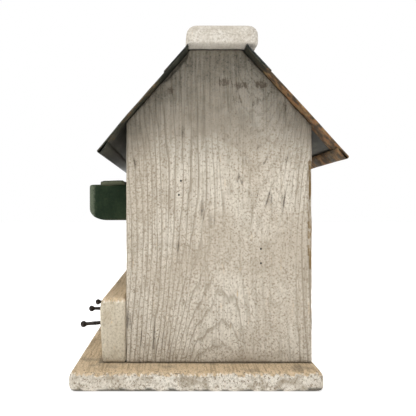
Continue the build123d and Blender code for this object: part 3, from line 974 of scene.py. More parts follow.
@dataclass
class Carcass:
    """The base, gables, walls and inside boards."""

    entry_spacing: float = 63.0 * MM
    entry_radius: float = 19.0 * MM
    entry_z: float = 121.0 * MM
    # how far down the soot and painted shade reach under the cap, and how far the painted shade reaches from
    # the roof slopes
    top_soot_and_shade: float = 92.0 * MM
    slope_shade: float = 38.0 * MM
    strip_width: float = 5.5 * MM
    strip_low: float = 112.0 * MM
    strip_high: float = 218.0 * MM
    split_depth: float = 4.0 * MM
    rail_depth: float = 26.0 * MM

    def slope_gap(self, point: Vector) -> float:
        """Measures how far a point lies below the nearer roof slope.

        Args:
            point: A point of the board.

        Returns:
            The gap, in metres.
        """
        flat = Vector((point.y, point.z))
        return min(-(flat - slope.top).dot(slope.out) for slope in (FRONT_SLOPE, REAR_SLOPE))

    def gable_soot_and_shade(self, point: Vector) -> float:
        """Says how dark the gable is: soot and painted shade under the cap, and painted shade along the roof
        slopes.

        Args:
            point: A point of the board.

        Returns:
            The soot and painted shade, from 0 to 1.
        """
        # soot and painted shade under the cap, fading downwards
        untouched = 1.0 - 0.48 * (1.0 - fade(GABLE_HIGH.z - point.z, 0.012, self.top_soot_and_shade))
        # soot and painted shade over the whole upper gable
        untouched *= 1.0 - 0.46 * fade(point.z, 0.200, 0.262)
        # painted shade along the roof slopes
        untouched *= 1.0 - 0.35 * (1.0 - fade(self.slope_gap(point), 0.0, self.slope_shade))
        return 1.0 - untouched

    def gable_marks(self, point: Vector) -> float:
        """Says how dark the marks in the grain are.

        Args:
            point: A point of the board.

        Returns:
            The darkest mark there, from 0 to 1.
        """
        across, up = point.y / MM, point.z / MM
        darkest = 0.0
        for y, z, half_y, half_z, depth in GRAIN_MARKS:
            far = math.hypot((across - y) / (half_y + 2.2), (up - z) / (half_z + 3.0))
            darkest = max(darkest, depth * (1.0 - fade(far, 0.2, 1.35)))
        return darkest

    def gable_raised(self, point: Vector) -> float:
        """Says where the grain stands out: toward the front, most of all low down, and by the rear edge.

        Args:
            point: A point of the board.

        Returns:
            How strongly it stands out.
        """
        low_front = 0.55 * (1.0 - fade(point.z, 0.03, 0.12)) * (1.0 - fade(point.y, -0.060, -0.015))
        front = 0.45 * (1.0 - fade(point.y, -0.02, 0.04))
        rear = 0.6 * fade(point.y, 0.094, 0.106) * (1.0 - fade(point.z, 0.18, 0.25))
        return low_front + front + rear

    def rear_strip(self, point: Vector) -> float:
        """Says how rubbed the strip down the rear edge is.

        Args:
            point: A point of the board.

        Returns:
            The rub, about 1 on the strip and 0 off it.
        """
        ragged = 2.6 * MM * noise.fractal(point * 150.0, 1.0, 2.0, 3)
        inside = 1.0 - fade(GABLE_HIGH.y - point.y + ragged, self.strip_width - 1.5 * MM, self.strip_width)
        high = 1.0 - fade(point.z, self.strip_high, self.strip_high + 8 * MM)
        patchy = 0.75 * fade(noise.noise(Vector((0.0, point.y * 60.0, point.z * 55.0))), 0.0, 0.35)
        low = max(fade(point.z, self.strip_low - 6 * MM, self.strip_low), patchy)
        depth = GABLE_HIGH.x - abs(point.x) + 2.0 * ragged
        return 1.04 * inside * high * low * (1.0 - fade(depth, 4 * MM, 8 * MM))

    def split_slope(self, point: Vector) -> float:
        """Says how much wood has split off the upper part of the front slope's edge.

        Args:
            point: A point of the board.

        Returns:
            The depth lost, in metres.
        """
        along = (Vector((point.y, point.z)) - FRONT_SLOPE.top).dot(FRONT_SLOPE.down)
        length = fade(along, 2 * MM, 9 * MM) * (1.0 - fade(along, 34 * MM, 46 * MM))
        return self.split_depth * length * fade(point.x, 0.15, 0.158)

    def entry_rim(self, point: Vector) -> float:
        """Says how rubbed the rim of each entry is.

        Args:
            point: A point of the board.

        Returns:
            1 at a rim, easing off round it.
        """
        gaps = []
        for index in (-1, 0, 1):
            across = math.hypot(point.x - index * self.entry_spacing, point.z - self.entry_z)
            gaps.append(abs(across - self.entry_radius))
        return 1.0 - min(1.0, min(gaps) / (5.0 * MM))

    def door_rim(self, point: Vector) -> float:
        """Says how rubbed the edge of the door's opening is.

        Args:
            point: A point of the board.

        Returns:
            1 at the edge, easing off round it.
        """
        low, high = DOOR_BOX
        dx = max(low.x - point.x, point.x - high.x)
        dz = max(low.z - point.z, point.z - high.z)
        return 1.0 - min(1.0, max(0.0, max(dx, dz)) / (6.0 * MM))

    def build(self) -> None:
        """Builds the worn boards and dresses the plain inside ones."""
        upright = Cut(Axis3.Z, Axis3.Y, Axis3.X, 0.040, 0.146, GABLE_HIGH.x + 0.05, lean=0.16)
        near = DistressedPaint("gable_paint", upright, rubbed=0.74, streaked=0.32, edge_wear=0.15)
        WornBoard(
            "right_gable", near.build(), grid=1.4 * MM, raised=self.gable_raised, grime_and_shade=self.gable_soot_and_shade,
            mark=self.gable_marks, extra_edge=self.rear_strip, broken=self.split_slope, seed=1.0,
        ).build()
        far_cut = Cut(Axis3.Z, Axis3.Y, Axis3.X, 0.005, 0.13, -GABLE_HIGH.x + 0.07)
        far = DistressedPaint("left_gable_paint", far_cut, rubbed=0.5, edge_wear=0.15, shift=2.0)
        WornBoard(
            "left_gable", far.build(), raised=self.gable_raised, grime_and_shade=self.gable_soot_and_shade,
            extra_edge=self.rear_strip, seed=2.0,
        ).build()
        self.build_base()
        self.build_walls()
        inside = BareTimber("inside_timber", Cut(Axis3.Z, Axis3.Y, Axis3.X, 0.0, 0.15, 0.2))
        beam = BareTimber("beam_timber", Cut(Axis3.X, Axis3.Y, Axis3.Z, 0.0, 0.0, 0.4), shift=3.0)
        inside_material, beam_material = inside.build(), beam.build()
        for node, material in (
            ("left_divider", inside_material), ("right_divider", inside_material),
            ("ridge_board", beam_material), ("door_stops", inside_material),
        ):
            dress_node(node, material)

    def build_base(self) -> None:
        """Builds the base board, rubbed bare on top and chipped along its lower edge."""
        _low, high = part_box("base_board")

        def thin_and_sheen(point: Vector) -> float:
            """Says how bare the top is.

            Args:
                point: A point of the board.

            Returns:
                How thin the paint is, from 0 to 1.
            """
            drop = high.z - point.z
            bristles = noise.noise(Vector((point.x * 330.0, point.y * 330.0, drop * 60.0)))
            lip = 1.0 - fade(abs(drop - 3.2 * MM), 0.0, 3.0 * MM)
            return 0.68 * fade(-drop, -6.5 * MM, -0.4 * MM) + 0.8 * lip * bristles

        def grime_and_shade(point: Vector) -> float:
            """Says how dirty the ragged lower edge is, and how dark the base top is along the house's foot.

            Args:
                point: A point of the board.

            Returns:
                The darkening, from 0 to 1.
            """
            rag = 1.9 * MM + 3.6 * MM * noise.fractal(point * 75.0, 1.0, 2.0, 4)
            under = 0.95 * (1.0 - fade(point.z, rag - 0.4 * MM, rag + 0.6 * MM))
            # darker on the base top in a narrow band along the house's foot
            beyond = math.hypot(
                max(0.0, abs(point.x) - GABLE_HIGH.x),
                max(0.0, GABLE_LOW.y - self.rail_depth - point.y, point.y - GABLE_HIGH.y),
            )
            ragged = 2.0 * MM * noise.noise(point * 120.0)
            on_top = fade(point.z, high.z - 1.5 * MM, high.z)
            foot = 0.6 * (1.0 - fade(beyond + ragged, 0.5 * MM, 3.5 * MM)) * on_top
            smudge = 0.35 * fade(noise.fractal(point * 38.0, 1.0, 2.0, 3), 0.3, 0.6) * on_top
            return max(under, foot, smudge)

        cut = Cut(Axis3.X, Axis3.Y, Axis3.Z, 0.02, 0.0, -0.055, 0.6)
        paint = DistressedPaint(
            "base_paint", cut, paint=(0.58, 0.52, 0.43), pale=(0.78, 0.73, 0.64), stained=(0.31, 0.25, 0.17),
            rubbed=0.2, streaked=0.3, blotch=0.7, fleck=1.0, edge_wear=0.14, shift=4.0,
        )
        WornBoard(
            "base_board", paint.build(), grid=2.0 * MM, bite=0.9 * MM, chip=2.0 * MM, seed=3.0,
            thin_and_sheen=thin_and_sheen, grime_and_shade=grime_and_shade,
        ).build()

    def build_walls(self) -> None:
        """Builds the front wall with its entries and the rear wall with the door's opening."""
        low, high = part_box("front_wall")
        middle_y = (low.y + high.y) / 2
        bores = [
            bore_form((index * self.entry_spacing, middle_y, self.entry_z), self.entry_radius, 40 * MM)
            for index in (-1, 0, 1)
        ]
        front_cut = Cut(Axis3.X, Axis3.Z, Axis3.Y, 0.13, 0.0, low.y - 0.07)
        front = DistressedPaint("front_paint", front_cut, rubbed=0.55, edge_wear=0.2, shift=6.0)
        WornBoard(
            "front_wall", front.build(), grid=2.4 * MM, cutters=bores, extra_edge=self.entry_rim, seed=5.0,
            # darker towards the top of the wall, under the eaves
            grime_and_shade=lambda p: 0.5 * (1.0 - fade(high.z - p.z, 0.0, 0.05)),
        ).build()
        door_low, door_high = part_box("cleanout_door")
        wall_low, wall_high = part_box("rear_wall")
        gap = 1.5 * MM
        opening = box_form(
            (door_low.x - gap, wall_low.y - 0.01, door_low.z - gap),
            (door_high.x + gap, wall_high.y + 0.01, door_high.z + gap),
        )
        rear_cut = Cut(Axis3.X, Axis3.Z, Axis3.Y, 0.10, 0.02, wall_high.y + 0.08)
        rear = DistressedPaint("rear_paint", rear_cut, rubbed=0.55, edge_wear=0.2, shift=8.0)
        WornBoard(
            "rear_wall", rear.build(), grid=2.4 * MM, cutters=[opening], extra_edge=self.door_rim, seed=6.0,
            reach=3.0 * MM, bite=0.5 * MM,
            # darker towards the top of the wall, under the eaves
            grime_and_shade=lambda p: 0.5 * (1.0 - fade(wall_high.z - p.z, 0.0, 0.05)),
        ).build()


def dress_node(node: str, material: bpy.types.Material) -> None:
    """Gives a CAD node that keeps its own shape a finish.

    Args:
        node: The node's name.
        material: Its finish.
    """
    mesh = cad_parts[node].data
    mesh.materials.clear()
    mesh.materials.append(material)
    LOG.info("%s: dressed", node)


# ---------------------------------------------------------------- roof


Row = list[tuple[Vector, float]]


def swept(name: str, rows: Sequence[Row], thickness: float, open_at: Paint = nowhere) -> bpy.types.Object:
    """Makes thin sheet metal from rows of points.

    Args:
        name: The piece's name.
        rows: Rows of equal length, each point with how folded it is, from 0 to 1.
        thickness: The metal's thickness.
        open_at: Says where the metal is cut away.

    Returns:
        The sheet, closed all round.
    """
    form = bmesh.new()
    fold = form.verts.layers.float.new("fold")
    made = []
    for row in rows:
        line = []
        for point, folded in row:
            vertex = form.verts.new(point)
            vertex[fold] = folded
            line.append(vertex)
        made.append(line)
    for line, after in zip(made, made[1:]):
        for index in range(len(line) - 1):
            if not open_at((line[index].co + after[index + 1].co) / 2):
                form.faces.new((line[index], line[index + 1], after[index + 1], after[index]))
    loose = [vertex for vertex in form.verts if not vertex.link_faces]
    bmesh.ops.delete(form, geom=loose, context="VERTS")
    bmesh.ops.recalc_face_normals(form, faces=form.faces)
    piece = object_from(mesh_from(form, name), name)
    skin = piece.modifiers.new("skin", "SOLIDIFY")
    skin.thickness = thickness
    skin.offset = 0.0
    return settled(piece)


def joined(pieces: Sequence[bpy.types.Object], name: str) -> bpy.types.Object:
    """Joins pieces into the first one and renames it.

    Args:
        pieces: The pieces.
        name: The joined piece's name.

    Returns:
        The joined piece.
    """
    form = bmesh.new()
    for piece in pieces:
        form.from_mesh(piece.data)
    form.to_mesh(pieces[0].data)
    form.free()
    for piece in pieces[1:]:
        bpy.data.objects.remove(piece)
    pieces[0].name = name
    return pieces[0]


def stations(low: float, high: float, step: float) -> list[float]:
    """Lists evenly spaced numbers.

    Args:
        low: The first.
        high: The last.
        step: About how far apart they are.

    Returns:
        The numbers.
    """
    count = max(1, round((high - low) / step))
    return [low + (high - low) * index / count for index in range(count + 1)]


@dataclass
class TinRoof:
    """Two tin sheets with folded hems, the flashing over the ridge and the cap board."""

    tin: float = 0.75 * MM
    skin: float = 0.6 * MM
    hem: float = 30.0 * MM
    eave_hem: float = 13.0 * MM
    eave_drop: float = 2.5 * MM
    eave_lip: float = 1.0 * MM
    eave_gap: float = 0.45 * MM
    ripple: float = 0.5 * MM
    droop: float = 0.8 * MM
    limp: float = 48.0 * MM
    wing: float = 36.0 * MM
    spring: float = 0.25 * MM
    step: float = 3.0 * MM

    def wave(self, x: float, along: float, seed: float) -> float:
        """Dents a hand-flattened sheet.

        Args:
            x: Where along the ridge.
            along: How far down the slope.
            seed: Sets the dents.

        Returns:
            How far the sheet stands off its slope.
        """
        return self.ripple * noise.fractal(Vector((x * 13.0, along * 19.0, seed)), 1.0, 2.0, 3)

    def across(self, half: float) -> list[tuple[float, float, float]]:
        """Lists a sheet's section along X, from one hem's inner edge round to the other's.

        Args:
            half: Half the sheet's length.

        Returns:
            Points as (x, how far out, how folded).
        """
        inner, outer, nip = 0.42 * self.tin, 1.5 * self.tin, 0.5 * MM
        line = [(x, inner, 1.0) for x in reversed(stations(-half + nip, -half + self.hem, self.step))]
        line.append((-half, (inner + outer) / 2, 1.0))
        for x in stations(-half + nip, half - nip, self.step):
            line.append((x, outer, 0.75 * fade(abs(x), half - 7 * MM, half)))
        line.append((half, (inner + outer) / 2, 1.0))
        line += [(x, inner, 1.0) for x in reversed(stations(half - self.hem, half - nip, self.step))]
        return line

    def sheet(self, node: str, slope: Slope, finish: bpy.types.Material, seed: float) -> None:
        """Builds a roof sheet with its gable hems and its open eave hem.

        Args:
            node: The sheet's CAD node.
            slope: The slope that it lies on.
            finish: Its finish.
            seed: Sets its dents.
        """
        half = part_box(node)[1].x
        flat = [Vector((v.co.y, v.co.z)) - slope.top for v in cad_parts[node].data.vertices]
        end = max(point.dot(slope.down) for point in flat) - self.eave_lip - self.eave_gap

        def place(x: float, along: float, out: float) -> Vector:
            """Places a point, with the sheet's dents and the droop at its corners.

            Args:
                x: Where along the ridge.
                along: How far down the slope.
                out: How far out from the slope.

            Returns:
                The point.
            """
            corner = fade(abs(x), half - self.limp, half) * fade(along, end - self.limp, end)
            swing = self.wave(x, along, seed) + 0.25 * MM - self.droop * corner
            point = slope.at(along, out + swing)
            return Vector((x, point.x, point.y))

        rows = []
        for along in stations(2 * MM, end, self.step):
            near_end = 0.6 * fade(along, end - 8 * MM, end)
            dry = 0.25 + 0.75 * fade(along, 0.028, 0.050)
            section = self.across(half)
            rows.append([(place(x, along, out), max(dry * fold, near_end)) for x, out, fold in section])
        top = swept(node + "_top", rows, self.skin)
        drop, lip = self.eave_drop, self.eave_lip
        hem = self.eave_hem
        profile = (
            (-hem, -0.50 * drop), (-0.7 * hem, -0.78 * drop), (-0.3 * hem, -0.95 * drop), (-0.1 * hem, -drop),
            (0.1 * lip, -0.88 * drop), (0.65 * lip, -0.5 * drop), (0.7 * lip, -0.1 * drop),
            (0.4 * lip, 0.25 * drop), (-0.4 * lip, 0.44 * drop),
        )
        rows = [
            [(place(x, end + along, out), 0.72) for along, out in profile]
            for x in stations(-half, half, self.step)
        ]
        lip_strip = swept(node + "_eave", rows, self.skin)
        piece = joined([top, lip_strip], node + "_tin")
        smooth(piece.data)
        enlist(piece, finish, "house", "rusty_tin", node)

    def flashing(self, finish: bpy.types.Material) -> None:
        """Builds the strip bent over the ridge, its near end sprung a little off the sheets.

        Args:
            finish: Its finish.
        """
        low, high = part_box("ridge_flashing")
        out = 2.5 * self.tin
        ridge_y = 20.0 * MM
        flat_z = high.z - 0.5 * self.tin
        section = []
        for slope in (FRONT_SLOPE, REAR_SLOPE):
            bend = (slope.top.y + out * slope.out.y - flat_z) / -slope.down.y
            distances = stations(bend, self.wing, self.step)
            section.append([(slope.at(along, out), slope.out, along / self.wing) for along in distances])
        front = list(reversed(section[0]))
        ridge = [
            (front[-1][0].lerp(section[1][0][0], part), Vector((0.0, 1.0)), 0.0)
            for part in (0.12, 0.3, 0.5, 0.7, 0.88)
        ]
        rows = []
        for x in stations(low.x, high.x, self.step):
            sprung = fade(x, high.x - 0.05, high.x)
            row = []
            for point, normal, loose in [*front, *ridge, *section[1]]:
                lift = self.spring * sprung * (1.0 if point.x < ridge_y else 0.4)
                swing = loose * (self.wave(x, point.x, 9.0) + lift)
                moved = point + normal * swing
                row.append((Vector((x, moved.x, moved.y)), 0.7 * fade(loose, 0.75, 1.0)))
            rows.append(row)

        def notched(point: Vector) -> bool:
            """Says whether a point is in the flat that stops short under each end of the cap.

            Args:
                point: The point.

            Returns:
                Whether the metal is cut away there.
            """
            return abs(point.x) > GABLE_HIGH.x - 2 * MM and point.z > flat_z - 1.0 * MM

        piece = swept("flashing_tin", rows, self.skin, notched)
        smooth(piece.data)
        enlist(piece, finish, "house", "rusty_tin", "ridge_flashing")

    def build(self) -> None:
        """Builds the sheets, the flashing and the cap."""
        front = RustyTin("front_tin", film=(0.060, 0.064, 0.042), rusting=0.13)
        self.sheet("front_roof_sheet", FRONT_SLOPE, front.build(), 1.0)
        rear = RustyTin(
            "rear_tin", rust=(0.24, 0.11, 0.042), ochre=(0.26, 0.18, 0.085), rusting=0.36, shift=3.0
        )
        self.sheet("rear_roof_sheet", REAR_SLOPE, rear.build(), 4.0)
        grey = RustyTin(
            "flashing_tin", tin=(0.035, 0.040, 0.038), scuffed=(0.19, 0.20, 0.205), rusting=0.3, shift=5.0
        )
        self.flashing(grey.build())
        cut = Cut(Axis3.X, Axis3.Y, Axis3.Z, 0.02, 0.0, 0.42, 0.5)
        cap = DistressedPaint(
            "cap_paint", cut, paint=(0.58, 0.53, 0.45), pale=(0.76, 0.72, 0.65), rubbed=0.12, streaked=0.15,
            blotch=0.25, fleck=0.28, edge_wear=0.06, shift=9.0,
        )
        low, _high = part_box("ridge_cap")
        WornBoard(
            "ridge_cap", cap.build(), bite=0.7 * MM, chip=1.0 * MM, seed=7.0,
            # painted shade on the cap's underside and lowest edge
            grime_and_shade=lambda p: 0.2 * (1.0 - fade(p.z - low.z, 0.0, 3.0 * MM)),
        ).build()


# ---------------------------------------------------------------- perches, window box


@dataclass
class ForgedPeg:
    """A round iron perch peg with a hammered ball at its end."""

    node: str
    shank: float = 2.05 * MM
    ball: float = 3.7 * MM
    sides: int = 28
    dents: float = 0.22 * MM
    dents_per_metre: float = 240.0
    waist: float = 0.05
    waists_per_metre: float = 420.0
    squash: float = 0.94
    seed: float = 0.0

    def build(self, finish: bpy.types.Material) -> None:
        """Builds the peg along its CAD node's axis.

        Args:
            finish: The iron.
        """
        points = [vertex.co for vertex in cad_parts[self.node].data.vertices]
        tail = self.end_middle(points, max)
        tip = self.end_middle(points, min)
        axis = (tip - tail).normalized()
        side = axis.cross(Vector((0, 0, 1))).normalized()
        up = side.cross(axis)
        length = (tip - tail).length
        rings = []
        for along, radius in self.profile(length):
            ring = []
            for index in range(self.sides):
                angle = math.tau * index / self.sides
                spoke = side * math.cos(angle) + up * math.sin(angle)
                point = tail + axis * along + spoke * radius
                dent = noise.fractal(point * self.dents_per_metre + Vector((self.seed, 0, 0)), 1.0, 2.0, 2)
                ring.append(point + spoke * dent * self.dents * min(1.0, radius / self.shank))
            rings.append(ring)
        mesh = turned_mesh(self.node, rings)
        piece = object_from(mesh, self.node + "_forged")
        smooth(mesh)
        enlist(piece, finish, "house", "black_iron", self.node)

    def end_middle(self, points: Sequence[Vector], pick: Callable[..., float]) -> Vector:
        """Finds the middle of one end of the peg.

        Args:
            points: The peg's points.
            pick: max for the tail, min for the tip, both along Y.

        Returns:
            The middle of the end's points.
        """
        edge = pick(point.y for point in points)
        near = [point for point in points if abs(point.y - edge) < 0.4 * MM]
        return sum(near, Vector()) / len(near)

    def profile(self, length: float) -> list[tuple[float, float]]:
        """Lists the peg's radius at distances along it.

        Args:
            length: The peg's length.

        Returns:
            Pairs of distance and radius, from the tail to the tip.
        """
        ball_at = length - self.squash * self.ball
        line = [
            (along, self.shank * (1.0 + self.waist * math.sin(along * self.waists_per_metre)))
            for along in stations(0, ball_at - self.ball, 1.4 * MM)
        ]
        start = math.asin(min(1.0, self.shank / self.ball))
        for step in range(1, 15):
            angle = start + (math.pi - start) * step / 15.4
            line.append((ball_at - self.ball * self.squash * math.cos(angle), self.ball * math.sin(angle)))
        return [point for point in line if point[1] > 0.2 * MM]


@dataclass
class FrontFittings:
    """The perch rail with its pegs, and the window box with its liner."""

    rim_wear: float = 4.0 * MM
    rim_low: float = 190.0 * MM
    rim_high: float = 197.0 * MM
    # the painted highlight on the box's rounded front corners: where it starts and ends from the front, and
    # how strong it is
    highlight_start: float = 3.0 * MM
    highlight_end: float = 13.0 * MM
    chalk: float = 0.75

    def build(self) -> None:
        """Builds the pieces on the front."""
        cut = Cut(Axis3.X, Axis3.Z, Axis3.Y, 0.05, 0.0, -0.15, 0.5)
        paint = DistressedPaint(
            "rail_paint", cut, paint=(0.60, 0.53, 0.41), pale=(0.68, 0.62, 0.49), stained=(0.46, 0.38, 0.26),
            rubbed=0.1, streaked=0.2, blotch=0.6, fleck=0.45, edge_wear=0.12, shift=11.0,
        )
        _low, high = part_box("perch_rail")
        WornBoard(
            "perch_rail", paint.build(), seed=8.0, bite=0.6 * MM, chip=0.7 * MM,
            thin_and_sheen=lambda p: 0.6 * fade(p.z, high.z - 7 * MM, high.z - 2 * MM),
        ).build()
        iron = AgedMetal("peg_iron").build()
        for seed, node in enumerate(("right_perch_peg", "middle_perch_peg", "left_perch_peg")):
            ForgedPeg(node, seed=2.0 * seed).build(iron)
        self.build_box()

    def build_box(self) -> None:
        """Builds the green box and the mossy liner that fills it."""
        liner_low, liner_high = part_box("window_box_liner")
        cavity = box_form(liner_low, (liner_high.x, liner_high.y, liner_high.z + 0.02))

        def rim(point: Vector) -> float:
            """Says how worn the rim of the hollow is.

            Args:
                point: A point of the box.

            Returns:
                1 at the rim, easing off round it.
            """
            dx = max(liner_low.x - point.x, point.x - liner_high.x)
            dy = max(liner_low.y - point.y, point.y - liner_high.y)
            near = 1.0 - min(1.0, max(0.0, dx, dy) / self.rim_wear)
            return near * fade(point.z, self.rim_low, self.rim_high)

        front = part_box("window_box")[0].y

        def corner(point: Vector) -> float:
            """Paints a highlight on the rounded front corners, where they turn towards the light.

            Args:
                point: A point of the box.

            Returns:
                The painted highlight, from 0 to 1.
            """
            near = 1.0 - fade(point.y - front, self.highlight_start, self.highlight_end)
            return self.chalk * near * fade(abs(point.x), 0.086, 0.092)

        # the rounded front corners get a painted highlight
        WornBoard(
            "window_box", GreenPaint("box_green").build(), slot="green_paint", grid=1.6 * MM,
            cutters=[cavity], seed=9.0, extra_edge=rim, thin_and_sheen=corner, bite=0.6 * MM, chip=0.9 * MM,
            rub=2.6 * MM,
        ).build()
        moss = GreenPaint(
            "liner_moss", paint=(0.012, 0.017, 0.008), faded=(0.045, 0.055, 0.028), worn=(0.17, 0.18, 0.115),
            edge_wear=0.45, shift=3.0,
        )
        WornBoard(
            "window_box_liner", moss.build(), slot="mossy_wood", grid=1.4 * MM, seed=10.0, reach=8 * MM,
            bite=0.8 * MM, chip=1.4 * MM, swell=0.9 * MM,
        ).build()


# ---------------------------------------------------------------- rear


# (reach, radius), each as a share of the knob's own
KNOB_PROFILE = (
    (0.0, 0.62), (0.10, 0.63), (0.16, 0.52), (0.30, 0.47), (0.42, 0.62), (0.52, 0.88), (0.64, 1.0),
    (0.76, 0.97), (0.86, 0.84), (0.93, 0.62), (0.98, 0.34), (1.0, 0.06),
)


@dataclass
class CleanoutDoor:
    """The rear door with its knob, hinges and turn button."""

    knob_sides: int = 36
    knob_x: float = 0.084
    knob_z: float = 0.099
    handled_inner: float = 0.01
    handled_outer: float = 0.03
    handled_dirt: float = 0.5

    def build(self) -> None:
        """Builds the door and its furniture."""
        low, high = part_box("cleanout_door")
        cut = Cut(Axis3.X, Axis3.Z, Axis3.Y, 0.08, 0.03, high.y + 0.07)
        paint = DistressedPaint("door_paint", cut, rubbed=0.6, edge_wear=0.2, shift=13.0)

        def handled(point: Vector) -> float:
            """Says how dirty hands have made the outside round the knob.

            Args:
                point: A point of the door.

            Returns:
                The dirt, from 0 to 1.
            """
            away = math.hypot(point.x - self.knob_x, point.z - self.knob_z)
            outside = fade(point.y, low.y, high.y)
            return self.handled_dirt * outside * (1.0 - fade(away, self.handled_inner, self.handled_outer))

        WornBoard(
            "cleanout_door", paint.build(), body="door", grid=1.8 * MM, reach=3.0 * MM, bite=0.5 * MM,
            chip=0.8 * MM, seed=12.0, grime_and_shade=handled,
        ).build()
        button_cut = Cut(Axis3.Z, Axis3.X, Axis3.Y, 0.1, 0.1, 0.15)
        turned = BareTimber("button_timber", button_cut, (0.26, 0.18, 0.10), (0.10, 0.06, 0.03))
        wood = turned.build()
        WornBoard(
            "turn_button", wood, slot="worn_wood", body="button", grid=0.6 * MM, reach=1.6 * MM,
            bite=0.35 * MM, chip=0.3 * MM, swell=0.05 * MM, seed=13.0,
        ).build()
        self.build_knob(wood)
        brass = AgedMetal(
            "hinge_brass", metal=(0.30, 0.20, 0.075), tarnish=(0.13, 0.085, 0.035), spots=(0.05, 0.035, 0.02),
            shine=0.85, rough=0.42, grain=600.0,
        ).build()
        for hinge in ("lower_hinge", "upper_hinge"):
            for part in ("wall_leaf", "door_leaf", "pin"):
                dress_node(f"{hinge}_{part}", brass)

    def build_knob(self, wood: bpy.types.Material) -> None:
        """Turns the wooden knob about its own axis.

        Args:
            wood: Its finish.
        """
        low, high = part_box("door_knob")
        middle = Vector(((low.x + high.x) / 2, low.y, (low.z + high.z) / 2))
        reach, radius = high.y - low.y, (high.x - low.x) / 2
        rings = []
        for out, wide in KNOB_PROFILE:
            ring = []
            for index in range(self.knob_sides):
                angle = math.tau * index / self.knob_sides
                across, up = math.cos(angle) * wide * radius, math.sin(angle) * wide * radius
                ring.append(middle + Vector((across, out * reach, up)))
            rings.append(ring)
        mesh = turned_mesh("knob", rings)
        piece = object_from(mesh, "door_knob_turned")
        smooth(mesh)
        enlist(piece, wood, "door", "worn_wood", "door_knob")


# ---------------------------------------------------------------- nails and screws


class HeadKind(Enum):
    """How a fastener's head is made."""

    HAMMERED = "hammered"
    SLOTTED = "slotted"


